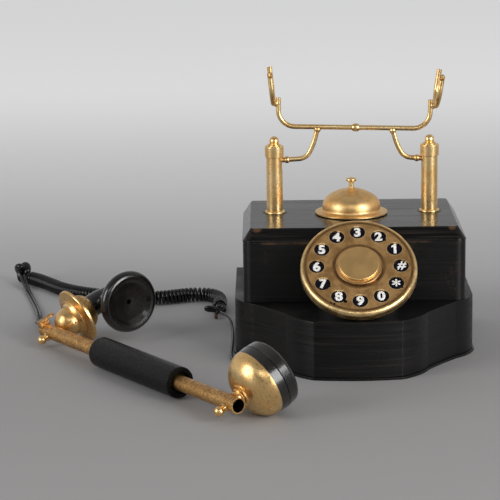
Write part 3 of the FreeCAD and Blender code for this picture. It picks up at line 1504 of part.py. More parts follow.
def cord_clip():
    """A folded strap on the tube's end, open towards the two strands that it holds."""
    top = -TUBE_RADIUS - 2 * STRAND_RADIUS - 0.4
    low_z = -2 * STRAND_RADIUS - 1.4
    strap = block((0.4, top - CLIP_SHEET, low_z), (0.4 + CLIP_WIDTH, top, low_z + CLIP_LENGTH))
    end_tab = block((0.4, top, low_z), (0.4 + CLIP_WIDTH, -3.0, low_z + CLIP_SHEET))
    crimp = block((0.4 + CLIP_WIDTH / 2, top, low_z), (0.4 + CLIP_WIDTH, -3.0, -low_z))
    return strap.fuse([end_tab, crimp]).cut(along_tube(TUBE_RADIUS, 0, TUBE_LENGTH)).removeSplitter()


# Cord


def plain_cord(name, points, radius):
    edges, radii = bent_path(points)
    print(name, "radii", [round(value, 1) for value in radii])
    tube = swept(edges, radius)
    length = sum(edge.Length for edge in edges)
    print(name, "length", round(length, 1), "volume share", round(tube.Volume / (math.pi * radius**2 * length), 4))
    return tube


def curl_edges():
    points = [(x, y, CURL_HEIGHT) for x, y in CURL_ROUTE]
    edges, radii = bent_path(points)
    print("cord_curl route radii", [round(value, 1) for value in radii])
    return edges


def cord_curl(route):
    places = route_places(route)
    points, phases = winding(places, CURL_RADIUS, CURL_PITCH, CURL_RAMP)
    first, last = places[0][1], places[-1][1]
    straight = 2 * CURL_WIRE
    edges = [Part.LineSegment(points[0] - first * straight, points[0]).toShape()]
    edges += wound_edges(points, phases, first, last)
    edges.append(Part.LineSegment(points[-1], points[-1] + last * straight).toShape())
    turns = (phases[-1] - phases[0]) / (2 * math.pi)
    gap = least_gap(points, phases, CURL_WIRE)
    tightest = min(edge.Curve.Radius for edge in edges[1:-1])
    print("cord_curl turns", round(turns, 1), "least gap", round(gap, 2), "tightest arc", round(tightest, 2))
    return swept(edges, CURL_WIRE, CURL_SIDES)


def route_end(edges, last):
    """Where the curl's straight end stops, and the way it points."""
    edge = edges[-1] if last else edges[0]
    parameter = edge.LastParameter if last else edge.FirstParameter
    heading = edge.tangentAt(parameter) * (1 if last else -1)
    return edge.valueAt(parameter) + heading * (2 * CURL_WIRE), heading


def cord_base_tie(route):
    """A ball of cord with a flat for the curl's end and one for the lead's."""
    place, heading = route_end(route, False)
    half = TIE_LENGTH / 2
    ball = Part.makeSphere(TIE_RADIUS).common(cylinder(2 * TIE_RADIUS, -half, half))
    return moved(ball, Placement(place + heading * half, Rotation(UP, heading)))


def cord_end_knot(route):
    """A ball of cord on the desk, with one flat for the curl's end and one for the two strands."""
    place, heading = route_end(route, True)
    centre = place + heading * (KNOT_RADIUS - KNOT_FLAT)
    centre.z = KNOT_RADIUS + SLIDING_GAP
    ball = Part.makeSphere(KNOT_RADIUS, centre)
    starts = [Vector(*STRAND_LEFT[0]), Vector(*STRAND_RIGHT[0])]
    away = Vector(*STRAND_LEFT[1]) - starts[0]
    reach = 2 * KNOT_RADIUS
    slab = block((-reach, -reach, -reach), (reach, reach, 0))
    for point, inward in ((place, heading), ((starts[0] + starts[1]) / 2, -away)):
        ball = ball.cut(moved(slab, Placement(point, Rotation(UP, inward))))
    return ball


def strand_seat(across):
    """Two last points of a strand, which reach its seat in the clip along the tube."""
    low_z = -2 * STRAND_RADIUS - 1.4 + CLIP_SHEET + STRAND_RADIUS + 0.1
    height = -STRAND_SEAT_HEIGHT
    end_x = 0.4 + CLIP_WIDTH / 2
    seat = HANDSET_FRAME.multVec(Vector(end_x, height, low_z + across))
    before = HANDSET_FRAME.multVec(Vector(end_x - 7.0, height, low_z + across))
    return [tuple(before), tuple(seat)]


def build():
    route = curl_edges()
    dial = {
        "finger_wheel": finger_wheel(),
        "dial_centre_cap": dial_centre_cap(),
        "dial_shaft": dial_shaft(),
        "dial_gear": main_gear(),
        "number_plate": number_plate(),
        "dial_bush": dial_bush(),
        "dial_bridge": bridge_plate(),
        "dial_pillars": Part.makeCompound([pillar(-1), pillar(1)]),
        "dial_spring": dial_spring(),
        "pulse_pinion": pulse_pinion(),
        "pulse_contacts": pulse_contacts(),
    }
    handset = {
        "handset_tube": handset_tube(),
        "handset_grip": handset_grip(),
        "earpiece_shell": earpiece_shell(),
        "earpiece_cap": earpiece_cap(),
        "receiver_capsule": receiver_capsule(),
        "transmitter_shell": transmitter_shell(),
        "transmitter_drum": transmitter_drum(),
        "transmitter_capsule": transmitter_capsule(),
        "horn": horn(),
        "mouth_disc": mouth_disc(),
        "cup_bolts": Part.makeCompound([cup_bolt(x) for x in cup_places()]),
        "cord_clip": cord_clip(),
    }
    nodes = {
        "base_plate": base_plate(),
        "base_screws": base_screws(),
        "plinth_shell": plinth_shell(),
        "body_shell": body_shell(),
        "top_cover": top_cover(),
        "cord_grommets": cord_grommets(),
        "left_post": post(-1),
        "right_post": post(1),
        "post_collars": Part.makeCompound([post_collar(-1), post_collar(1)]),
        "finials": Part.makeCompound([finial(-1), finial(1)]),
        "left_plunger": plunger(-1),
        "right_plunger": plunger(1),
        "cradle_bar": cradle_bar(),
        "bar_sleeve": bar_sleeve(),
        "left_arm": arm(-1),
        "right_arm": arm(1),
        "left_fork": moved(mirrored(right_fork()), BAR_FRAME),
        "right_fork": moved(right_fork(), BAR_FRAME),
        "cradle_springs": Part.makeCompound([cradle_spring(-1), cradle_spring(1)]),
        "switch_crossbar": switch_crossbar(),
        "hook_contact_block": hook_contact_block(),
        "hook_contact_fixed": hook_contact_fixed(),
        "hook_contact_moving": hook_contact_moving(),
        "bell_gong": bell_gong(),
        "gong_post": gong_post(),
        "bell_button": bell_button(),
        "button_spring": button_spring(),
        "clapper_bracket": clapper_bracket(),
        "clapper_pin": pin_solid(),
        "clapper": clapper(),
        "dial_drum": dial_drum(),
        "cord_base_lead": plain_cord("cord_base_lead", BASE_LEAD, LEAD_RADIUS),
        "cord_base_tie": cord_base_tie(route),
        "cord_curl": cord_curl(route),
        "cord_end_knot": cord_end_knot(route),
        "cord_strand_left": plain_cord("cord_strand_left", STRAND_LEFT + strand_seat(0.0), STRAND_RADIUS),
        "cord_strand_right": plain_cord(
            "cord_strand_right", STRAND_RIGHT + strand_seat(2 * STRAND_RADIUS + 0.2), STRAND_RADIUS
        ),
    }
    for name, shape in dial.items():
        nodes[name] = moved(shape, DIAL_FRAME)
    for name, shape in handset.items():
        nodes[name] = moved(shape, HANDSET_FRAME)
    return nodes


os.makedirs("parts", exist_ok=True)
for node, shape in build().items():
    shape.exportStep(f"parts/{node}.step")
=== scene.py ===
import math

import bmesh
import bpy
from mathutils import Matrix, Vector


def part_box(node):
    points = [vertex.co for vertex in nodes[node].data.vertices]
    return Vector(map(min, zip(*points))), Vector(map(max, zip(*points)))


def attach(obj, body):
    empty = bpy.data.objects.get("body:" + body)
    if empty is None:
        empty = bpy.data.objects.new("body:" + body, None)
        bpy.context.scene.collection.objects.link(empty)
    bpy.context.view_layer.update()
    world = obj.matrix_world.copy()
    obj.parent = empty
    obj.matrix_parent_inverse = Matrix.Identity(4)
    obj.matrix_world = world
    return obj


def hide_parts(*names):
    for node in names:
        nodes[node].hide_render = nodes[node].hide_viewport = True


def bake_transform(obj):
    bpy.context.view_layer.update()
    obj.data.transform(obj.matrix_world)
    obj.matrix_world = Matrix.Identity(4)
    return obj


# The looks of an antique-style desk telephone: satin black sheet metal, aged gold fittings and
# a black curly cord. Lengths are in metres, in the frame of the CAD model, where nothing else is said.

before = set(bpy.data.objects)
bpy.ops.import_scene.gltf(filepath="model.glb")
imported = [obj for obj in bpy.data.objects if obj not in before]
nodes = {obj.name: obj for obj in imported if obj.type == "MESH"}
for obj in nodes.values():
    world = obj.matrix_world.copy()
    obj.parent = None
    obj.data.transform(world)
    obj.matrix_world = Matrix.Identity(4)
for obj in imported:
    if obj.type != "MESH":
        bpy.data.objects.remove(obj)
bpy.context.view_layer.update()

MILLIMETRE = 0.001

# Camera, as the photograph was taken
CAMERA_PLACE = Vector((-0.0570, -1.4300, 0.38485))
CAMERA_DOWN = math.radians(12.650)
CAMERA_LEFT = math.radians(0.5475)
CAMERA_ROLL = math.radians(-0.8474)
CAMERA_LENS = 151.51
CAMERA_SENSOR = 36.0
CAMERA_NEAR = 0.05
CAMERA_FAR = 60.0

# Cord
LEAD_RADIUS = 0.0009
CURL_WIRE = 0.0013
CURL_RADIUS = 0.0041
CURL_GAP = 0.00006
CURL_START = 0.0060
CURL_END = 0.0040
CURL_POINTS = 16
CURL_HEIGHT = 0.0054
STRAND_RADIUS = 0.0011
LEAD_ROUTE = [
    (-0.0592, -0.0689, 0.00500),
    (-0.0646, -0.0726, 0.00420),
    (-0.0730, -0.0732, 0.00220),
    (-0.0800, -0.0672, 0.00110),
    (-0.0836, -0.0570, 0.00095),
    (-0.0844, -0.0420, 0.00095),
    (-0.0839, -0.0200, 0.00095),
    (-0.0838, 0.0080, 0.00110),
    (-0.0842, 0.0240, 0.00220),
    (-0.0856, 0.0350, 0.00500),
    (-0.0890, 0.0434, 0.00640),
    (-0.0932, 0.0516, 0.00600),
    (-0.09424, 0.0595, 0.00540),
]
CURL_ROUTE = [
    (-0.0943, 0.0665),
    (-0.0944, 0.0785),
    (-0.0942, 0.0896),
    (-0.0954, 0.0988),
    (-0.1006, 0.1070),
    (-0.1094, 0.1112),
    (-0.1194, 0.1102),
    (-0.1300, 0.1048),
    (-0.1416, 0.1016),
    (-0.1538, 0.1018),
    (-0.1670, 0.1046),
    (-0.1806, 0.1092),
    (-0.1934, 0.1150),
    (-0.2042, 0.1218),
    (-0.2136, 0.1302),
    (-0.2218, 0.1408),
    (-0.2290, 0.1520),
    (-0.2356, 0.1616),
    (-0.2416, 0.1684),
    (-0.2473, 0.1722),
]
STRAND_LEFT = [
    (-0.2524, 0.1752, 0.00920),
    (-0.2518, 0.1690, 0.00860),
    (-0.2504, 0.1635, 0.00660),
    (-0.2479, 0.1566, 0.00360),
    (-0.2456, 0.1466, 0.00160),
    (-0.2424, 0.1336, 0.00115),
    (-0.2372, 0.1117, 0.00115),
    (-0.2318, 0.0878, 0.00115),
    (-0.2276, 0.0639, 0.00160),
    (-0.2248, 0.0419, 0.00460),
    (-0.2240, 0.0259, 0.00740),
    (-0.2232, 0.0128, 0.01000),
]
STRAND_RIGHT = [
    (-0.2500, 0.1752, 0.00920),
    (-0.2494, 0.1692, 0.00860),
    (-0.2480, 0.1639, 0.00660),
    (-0.2456, 0.1572, 0.00360),
    (-0.2433, 0.1474, 0.00160),
    (-0.2401, 0.1344, 0.00115),
    (-0.2349, 0.1123, 0.00115),
    (-0.2295, 0.0882, 0.00115),
    (-0.2252, 0.0641, 0.00160),
    (-0.2224, 0.0421, 0.00460),
    (-0.2216, 0.0261, 0.00740),
    (-0.2208, 0.0132, 0.01000),
]
STRAND_SEAT_REACHES = (-0.0046, 0.0024)
STRAND_SEAT_HEIGHT = -0.0063
STRAND_SEAT_ACROSS = -0.0014
STRAND_SPACING = 0.0024

# Tie by the base and knot at the curl's far end, with offsets from their middles in millimetres
TIE_RADIUS = 0.0014
TIE_LOOP = [
    (0.1, -2.4, 0.0),
    (-1.6, -2.4, 1.4),
    (-5.6, -1.6, 2.4),
    (-9.4, -0.8, 2.2),
    (-10.0, -0.4, 0.8),
    (-8.4, -0.8, 0.0),
    (-5.0, -1.4, 0.0),
    (-1.0, -2.6, -0.6),
    (2.8, -3.4, -0.4),
    (4.4, -1.8, 0.8),
    (3.0, 0.6, 2.4),
    (-0.8, 1.6, 2.0),
    (-2.6, 0.8, -0.2),
    (-0.8, 1.2, -1.8),
    (0.0, 2.8, -0.4),
    (0.0, 4.4, 0.0),
]
TAIL_RADIUS = 0.0013
TIE_TAIL = [
    (1.6, -2.2, 0.8),
    (-0.8, -3.0, 0.2),
    (-2.2, -3.8, -1.6),
    (-2.6, -5.0, -3.6),
    (-2.2, -7.0, -4.0),
]
KNOT_RADIUS = 0.0026
KNOT_INSET = 0.0036
KNOT_HEIGHT = 0.0093
KNOT_STEPS = 36
KNOT_OPENING = 0.2
KNOT_ACROSS = 1.5
KNOT_DEEP = 2.6
KNOT_UP = 2.2

# Handset and dial frames
HANDSET_PLACE = Vector((-0.2151, -0.0039, 0.00949))
HANDSET_AZIMUTH = math.radians(-55.1)
HANDSET_TILT = math.radians(0.603)
HANDSET_ROLL = math.radians(23.92 - 90)
DIAL_PLACE = Vector((0.0016, -0.080487, 0.070181))
DIAL_SLOPE = math.radians(41.1)
GRIP_ENDS = (0.0778, 0.1755)
# Radius round the handset's axis inside which the tube's bore is painted black as shade
BORE_SHADE_RADIUS = 0.0043
BORE_SHADE_BLUR = 0.0002

# Bands of the finger wheel, by distance from its middle: the cap's edge, the grooves that get painted shade
# and the rim's edge that gets a painted highlight
CAP_EDGE = (0.0150, 0.0138)
CAP_GROOVE = (0.0148, 0.0157, 0.0166, 0.0186)
RIM_GROOVE = (0.0340, 0.0350, 0.0356, 0.0365)
RIM_EDGE = (0.0362, 0.0374)

# Dial print
DIGITS = "#1234567890*"
DIGIT_HEIGHT = 0.0096
DIGIT_BOLD = 0.00056
DIGIT_RING = 0.0278
DIGIT_DEPTH = 0.0016
DIGIT_SHIFT = 0.0012
DIGIT_LIFT = 0.00006
DIGIT_FLATTEN = 0.1
STAR_SCALE = 1.3
HASH_SCALE = 0.95
SIGN_BOLD = 0.5
HASH_SLANT = 0.25
HOLE_RADIUS = 0.0051
FIGURE_ONE = [
    (-0.9, 0.0),
    (0.9, 0.0),
    (0.9, 7.9),
    (-0.5, 7.9),
    (-1.1, 6.7),
    (-2.3, 6.1),
    (-2.3, 4.7),
    (-0.9, 5.2),
]
FIGURE_ONE_SHIFT = 0.0004
SMUDGES = [
    (0.0180, 0.0212, 0.0010),
    (-0.0098, -0.0281, 0.0012),
    (0.0280, -0.0176, 0.0007),
    (-0.0195, -0.0162, 0.0006),
    (0.0034, 0.0311, 0.0006),
    (-0.0170, -0.0300, 0.0008),
    (-0.0190, -0.0292, 0.0006),
]

# Screw on the transmitter drum
SCREW_PLACE = Vector((-0.18394, -0.00445, 0.02985))
SCREW_AXIS = Vector((0.5535, -0.1655, 0.8162))
SCREW_RADIUS = 0.0016
SCREW_HEIGHT = 0.0008
SCREW_SLOT = 0.00028
SCREW_SINK = 0.0006
SCREW_DOME = 0.92
SCREW_SIDES = 32
SCREW_RINGS = (0.12, 0.35, 0.58, 0.78, 0.92, 1.0, 1.0)

# Rubbed places of the base: its upper edge and the lid's front corners
BODY_EDGE_HEIGHT = 0.0806
CORNER_X = 0.0655
CORNER_Y = -0.0475
CORNER_Z = 0.0890

# Floor: grey in front, pale at the back, with a glow that starts further back
FLOOR_SIZE = 12.0
FLOOR_DROP = 0.0001
FLOOR_FADE = (-0.15, 0.65)
FLOOR_GLOW = (0.30, 1.30)
FLOOR_GLOW_STRENGTH = 0.35

# Room light by height and by direction, and the lamps: name, place, width, height and power in watts
ROOM_HEIGHTS = (0.05, 0.75)
ROOM_DIRECTIONS = (-0.9, 0.4)
ROOM_FRONT = 0.25
LAMP_TARGET = (-0.06, 0.0, 0.06)
LAMPS = [
    ("left_box", (-1.48, -0.86, 0.62), 0.8, 1.0, 12.0),
    ("right_box", (1.20, -1.24, 0.62), 0.8, 1.0, 20.5),
    ("front_box", (-0.10, -1.75, 1.00), 1.0, 0.4, 3.0),
]

handset_frame = Matrix.Translation(HANDSET_PLACE)
handset_frame @= Matrix.Rotation(HANDSET_AZIMUTH, 4, "Z")
handset_frame @= Matrix.Rotation(-HANDSET_TILT, 4, "Y")
handset_frame @= Matrix.Rotation(HANDSET_ROLL, 4, "X")
handset_axis = handset_frame.to_3x3().col[0]
dial_frame = Matrix.Translation(DIAL_PLACE) @ Matrix.Rotation(DIAL_SLOPE, 4, "X")


def make_camera():
    """The camera at the photograph's place and angle."""
    data = bpy.data.cameras.new("camera")
    data.sensor_width = CAMERA_SENSOR
    data.lens = CAMERA_LENS
    data.clip_start = CAMERA_NEAR
    data.clip_end = CAMERA_FAR
    level = math.cos(CAMERA_DOWN)
    forward = Vector((-math.sin(CAMERA_LEFT) * level, math.cos(CAMERA_LEFT) * level, -math.sin(CAMERA_DOWN)))
    right = Vector((math.cos(CAMERA_LEFT), math.sin(CAMERA_LEFT), 0.0))
    up = right.cross(forward)
    rolled_right = math.cos(CAMERA_ROLL) * right + math.sin(CAMERA_ROLL) * up
    rolled_up = math.cos(CAMERA_ROLL) * up - math.sin(CAMERA_ROLL) * right
    axes = Matrix((rolled_right, rolled_up, -forward)).transposed()
    camera = bpy.data.objects.new("camera", data)
    camera.matrix_world = Matrix.Translation(CAMERA_PLACE) @ axes.to_4x4()
    bpy.context.scene.collection.objects.link(camera)
    bpy.context.scene.camera = camera


def shown(name, data):
    """A new object in the scene."""
    piece = bpy.data.objects.new(name, data)
    bpy.context.scene.collection.objects.link(piece)
    return piece


def curve(name, points, radius, smooth=12):
    """A round cord on one open NURBS spline."""
    data = bpy.data.curves.new(name, "CURVE")
    data.dimensions = "3D"
    data.resolution_u = smooth
    data.bevel_depth = radius
    data.bevel_resolution = 3
    data.use_fill_caps = True
    spline = data.splines.new("NURBS")
    spline.points.add(len(points) - 1)
    for target, point in zip(spline.points, points):
        target.co = (point[0], point[1], point[2], 1.0)
    spline.order_u = 3
    spline.use_endpoint_u = True
    return shown(name, data)


def route_points(points):
    """The points of the smooth line that a route makes."""
    route = curve("route", points, 0.0)
    mesh = bpy.data.meshes.new_from_object(route)
    line = [vertex.co.copy() for vertex in mesh.vertices]
    bpy.data.meshes.remove(mesh)
    bpy.data.curves.remove(route.data)
    return line


def along(line):
    """The distance along a line to each of its points."""
    distances = [0.0]
    for start, end in zip(line, line[1:]):
        distances.append(distances[-1] + (end - start).length)
    return distances


def place_at(line, distances, distance):
    """The point and the direction at a distance along a line."""
    index = 0
    while index < len(line) - 2 and distances[index + 1] < distance:
        index += 1
    run = line[index + 1] - line[index]
    share = (distance - distances[index]) / run.length
    return line[index] + share * run, run.normalized()


def smooth_step(share):
    """A share from 0 to 1 that starts and ends gently."""
    share = min(1.0, max(0.0, share))
    return share * share * (3.0 - 2.0 * share)


def curl_points(line):
    """The helix round the curl's route: close turns, opened in bends, that shrink at both ends."""
    distances = along(line)
    total = distances[-1]
    close = 2.0 * CURL_WIRE + CURL_GAP
    count = int(total / close * CURL_POINTS)
    points = []
    turn = 0.0
    for index in range(count + 1):
        distance = total * index / count
        middle, ahead = place_at(line, distances, distance)
        before = place_at(line, distances, max(0.0, distance - CURL_RADIUS))[1]
        after = place_at(line, distances, min(total, distance + CURL_RADIUS))[1]
        bend = min(0.5, (after - before).length / 2.0)
        side = Vector((-ahead.y, ahead.x, 0.0)).normalized()
        swell = smooth_step(distance / CURL_START) * smooth_step((total - distance) / CURL_END)
        offset = math.cos(turn) * side + math.sin(turn) * Vector((0.0, 0.0, 1.0))
        points.append(middle + CURL_RADIUS * swell * offset)
        turn += 2.0 * math.pi * total / count / (close / (1.0 - bend))
    return points


def tube(name, line, radius, sides=14):
    """A closed mesh tube along a line, flat at both ends."""
    mesh = bpy.data.meshes.new(name)
    work = bmesh.new()
    rings = []
    side = Vector((0.0, 0.0, 1.0))
    for index, point in enumerate(line):
        before = line[max(index - 1, 0)]
        after = line[min(index + 1, len(line) - 1)]
        ahead = (after - before).normalized()
        side = (side - side.dot(ahead) * ahead).normalized()
        other = ahead.cross(side)
        rings.append([])
        for step in range(sides):
            angle = 2.0 * math.pi * step / sides
            offset = radius * (math.cos(angle) * side + math.sin(angle) * other)
            rings[-1].append(work.verts.new(point + offset))
    for first, second in zip(rings, rings[1:]):
        for step in range(sides):
            following = (step + 1) % sides
            work.faces.new((first[step], first[following], second[following], second[step]))
    work.faces.new(list(reversed(rings[0])))
    work.faces.new(rings[-1])
    for face in work.faces:
        face.smooth = True
    work.to_mesh(mesh)
    work.free()
    return shown(name, mesh)


def make_cords(gloss):
    """The cord from the base to the handset: lead, curl and two strands."""
    lead = curve("cord_lead", LEAD_ROUTE, LEAD_RADIUS)
    lead.data.materials.append(gloss)
    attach(lead, "base")
    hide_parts("cord_base_lead")

    line = route_points([(x, y, CURL_HEIGHT) for x, y in CURL_ROUTE])
    helix = curl_points(line)
    curl = curve("cord_curly", helix, CURL_WIRE, smooth=2)
    curl.data.materials.append(gloss)
    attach(curl, "base")
    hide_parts("cord_curl")

    for name, route, across in (("left", STRAND_LEFT, 0.0), ("right", STRAND_RIGHT, STRAND_SPACING)):
        seat = []
        for reach in STRAND_SEAT_REACHES:
            seat.append(handset_frame @ Vector((reach, STRAND_SEAT_HEIGHT, STRAND_SEAT_ACROSS + across)))
        line = route_points(route + [tuple(point) for point in seat])
        strand = tube("cord_twin_" + name, line, STRAND_RADIUS)
        strand.data.materials.append(gloss)
        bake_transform(strand)
        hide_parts("cord_strand_" + name)


class Finish:
    """A material being made: its node tree and the shader that its patterns feed."""

    def __init__(self, name, metallic, roughness):
        self.material = bpy.data.materials.new(name)
        self.material.use_nodes = True
        self.tree = self.material.node_tree
        self.shader = self.tree.nodes["Principled BSDF"]
        self.shader.inputs["Metallic"].default_value = metallic
        self.shader.inputs["Roughness"].default_value = roughness
        self.place = self.node("ShaderNodeTexCoord").outputs["Object"]

    def node(self, kind, **settings):
        """A new node with its settings."""
        made = self.tree.nodes.new(kind)
        for name, value in settings.items():
            setattr(made, name, value)
        return made

    def feed(self, socket, value):
        """Puts a number, a colour or another node's result into a socket."""
        if isinstance(value, bpy.types.NodeSocket):
            self.tree.links.new(value, socket)
        else:
            socket.default_value = value

    def noise(self, scale, detail=4.0, roughness=0.6, stretch=(1.0, 1.0, 1.0), turn=(0.0, 0.0, 0.0)):
        """A cloudy pattern from 0 to 1; stretch multiplies its scale along each axis."""
        mapping = self.node("ShaderNodeMapping")
        self.feed(mapping.inputs["Vector"], self.place)
        mapping.inputs["Scale"].default_value = stretch
        mapping.inputs["Rotation"].default_value = turn
        texture = self.node("ShaderNodeTexNoise")
        self.feed(texture.inputs["Vector"], mapping.outputs["Vector"])
        texture.inputs["Scale"].default_value = scale
        texture.inputs["Detail"].default_value = detail
        texture.inputs["Roughness"].default_value = roughness
        return texture.outputs["Fac"]

    def step(self, value, start, end, low=0.0, high=1.0):
        """A smooth change from low to high while the value goes from start to end."""
        made = self.node("ShaderNodeMapRange", interpolation_type="SMOOTHSTEP")
        self.feed(made.inputs["Value"], value)
        made.inputs["From Min"].default_value = start
        made.inputs["From Max"].default_value = end
        made.inputs["To Min"].default_value = low
        made.inputs["To Max"].default_value = high
        return made.outputs["Result"]

    def maths(self, operation, first, second=0.0):
        """The result of one sum on numbers."""
        made = self.node("ShaderNodeMath", operation=operation)
        self.feed(made.inputs[0], first)
        self.feed(made.inputs[1], second)
        return made.outputs["Value"]

    def times(self, first, second):
        """The product of two numbers."""
        return self.maths("MULTIPLY", first, second)

    def plus(self, first, second):
        """The sum of two numbers."""
        return self.maths("ADD", first, second)

    def away(self, first, second=0.0):
        """How far one number is from another, whichever is larger."""
        return self.maths("ABSOLUTE", self.maths("SUBTRACT", first, second))

    def most(self, values):
        """The largest of several numbers."""
        largest = values[0]
        for value in values[1:]:
            largest = self.maths("MAXIMUM", largest, value)
        return largest

    def band(self, value, edges):
        """1 between the two inner edges, and 0 outside the two outer ones."""
        rise = self.step(value, edges[0], edges[1])
        return self.times(rise, self.step(value, edges[3], edges[2]))

    def ragged(self, value, cloud, depth):
        """A distance that a cloudy pattern makes uneven."""
        return self.plus(value, self.times(cloud, depth))

    def mix(self, share, first, second):
        """A colour between two colours."""
        made = self.node("ShaderNodeMix", data_type="RGBA")
        self.feed(made.inputs["Factor"], share)
        self.feed(made.inputs["A"], first)
        self.feed(made.inputs["B"], second)
        return made.outputs["Result"]

    def distance(self, point):
        """How far the surface is from a point."""
        made = self.node("ShaderNodeVectorMath", operation="DISTANCE")
        self.feed(made.inputs[0], self.place)
        made.inputs[1].default_value = point
        return made.outputs["Value"]

    def axis(self, name):
        """One coordinate of the surface: X, Y or Z."""
        made = self.node("ShaderNodeSeparateXYZ")
        self.feed(made.inputs["Vector"], self.place)
        return made.outputs[name]

    def colour(self, value):
        """Sets the surface's colour."""
        self.feed(self.shader.inputs["Base Color"], value)

    def roughness(self, value):
        """Sets how dull the surface is."""
        self.feed(self.shader.inputs["Roughness"], value)

    def specular(self, level):
        """Sets how strongly a painted surface mirrors."""
        self.shader.inputs["Specular IOR Level"].default_value = level

    def from_axis(self, point, direction):
        """How far the surface is along an axis from a point, and how far out from that axis."""
        away = self.node("ShaderNodeVectorMath", operation="SUBTRACT")
        self.feed(away.inputs[0], self.place)
        away.inputs[1].default_value = point
        ahead = self.node("ShaderNodeVectorMath", operation="DOT_PRODUCT")
        self.feed(ahead.inputs[0], away.outputs["Vector"])
        ahead.inputs[1].default_value = direction
        around = self.node("ShaderNodeVectorMath", operation="CROSS_PRODUCT")
        self.feed(around.inputs[0], away.outputs["Vector"])
        around.inputs[1].default_value = direction
        out = self.node("ShaderNodeVectorMath", operation="LENGTH")
        self.feed(out.inputs[0], around.outputs["Vector"])
        return ahead.outputs["Value"], out.outputs["Value"]

    def bump(self, height, depth, rounding=0.0):
        """Raises the surface where the pattern is high, by up to the depth, and can soften edges."""
        made = self.node("ShaderNodeBump")
        made.inputs["Strength"].default_value = 1.0
        made.inputs["Distance"].default_value = depth
        self.feed(made.inputs["Height"], height)
        if rounding > 0.0:
            soft = self.node("ShaderNodeBevel", samples=8)
            soft.inputs["Radius"].default_value = rounding
            self.feed(made.inputs["Normal"], soft.outputs["Normal"])
        self.feed(self.shader.inputs["Normal"], made.outputs["Normal"])


def rgb(red, green, blue):
    """A colour with full opacity."""
    return (red, green, blue, 1.0)


GOLD = rgb(0.90, 0.580, 0.235)
GOLD_PALE = rgb(0.98, 0.72, 0.355)
BELL_GOLD = rgb(0.80, 0.490, 0.190)
BELL_PALE = rgb(0.92, 0.63, 0.290)
TUBE_GOLD = rgb(0.63, 0.350, 0.118)
TUBE_PALE = rgb(0.82, 0.490, 0.192)
GOLD_BROWN = rgb(0.42, 0.240, 0.090)
GOLD_DARK = rgb(0.120, 0.062, 0.024)
GOLD_BLACK = rgb(0.016, 0.011, 0.008)
PAINT = rgb(0.0026, 0.0024, 0.0024)
PAINT_BROWN = rgb(0.0190, 0.0135, 0.0105)
PAINT_WORN = rgb(0.110, 0.060, 0.030)
EDGE_ROUNDING = 0.0012


def aged_gold(name, patina, rough, plain=GOLD, pale=GOLD_PALE, creases=0.0):
    """Aged gold plate: cloudy patina, specks and rub marks; with creases, dark lines and painted shade inside
    the tube's bore.
    """
    finish = Finish(name, 1.0, rough)
    cloud = finish.noise(75.0, 5.0, 0.6)
    fleck = finish.noise(1300.0, 5.0, 0.7)
    rub = finish.noise(420.0, 5.0, 0.65)
    base = finish.mix(finish.step(cloud, 0.36, 0.64), plain, pale)
    aged = finish.mix(finish.step(rub, 0.46, 0.74, 0.0, patina), base, GOLD_BROWN)
    aged = finish.mix(finish.step(fleck, 0.60, 0.74, 0.0, 0.35 + 0.5 * patina), aged, GOLD_DARK)
    aged = finish.mix(finish.step(fleck, 0.72, 0.80, 0.0, patina), aged, GOLD_BLACK)
    relief = finish.plus(finish.times(rub, 0.6), finish.times(fleck, 0.4 * patina))
    if creases > 0.0:
        wrinkle = finish.away(finish.noise(330.0, 4.0, 0.7), 0.5)
        crease = finish.step(wrinkle, 0.045, 0.005)
        aged = finish.mix(finish.times(crease, creases), aged, GOLD_DARK)
        relief = finish.maths("SUBTRACT", relief, crease)
        # Painted shade: black inside the tube's bore, within a radius of the handset's axis
        out = finish.from_axis(handset_frame.translation, handset_axis)[1]
        bore_shade = finish.step(out, BORE_SHADE_RADIUS + BORE_SHADE_BLUR, BORE_SHADE_RADIUS - BORE_SHADE_BLUR)
        aged = finish.mix(bore_shade, aged, GOLD_BLACK)
    finish.colour(aged)
    finish.roughness(finish.step(rub, 0.32, 0.72, rough - 0.05, rough + 0.12))
    finish.bump(relief, 0.00006)
    return finish.material


def hole_place(index):
    """A finger hole's middle in the dial's plane."""
    angle = 2.0 * math.pi * index / len(DIGITS)
    return Vector((DIGIT_RING * math.cos(angle), DIGIT_RING * math.sin(angle), 0.0))


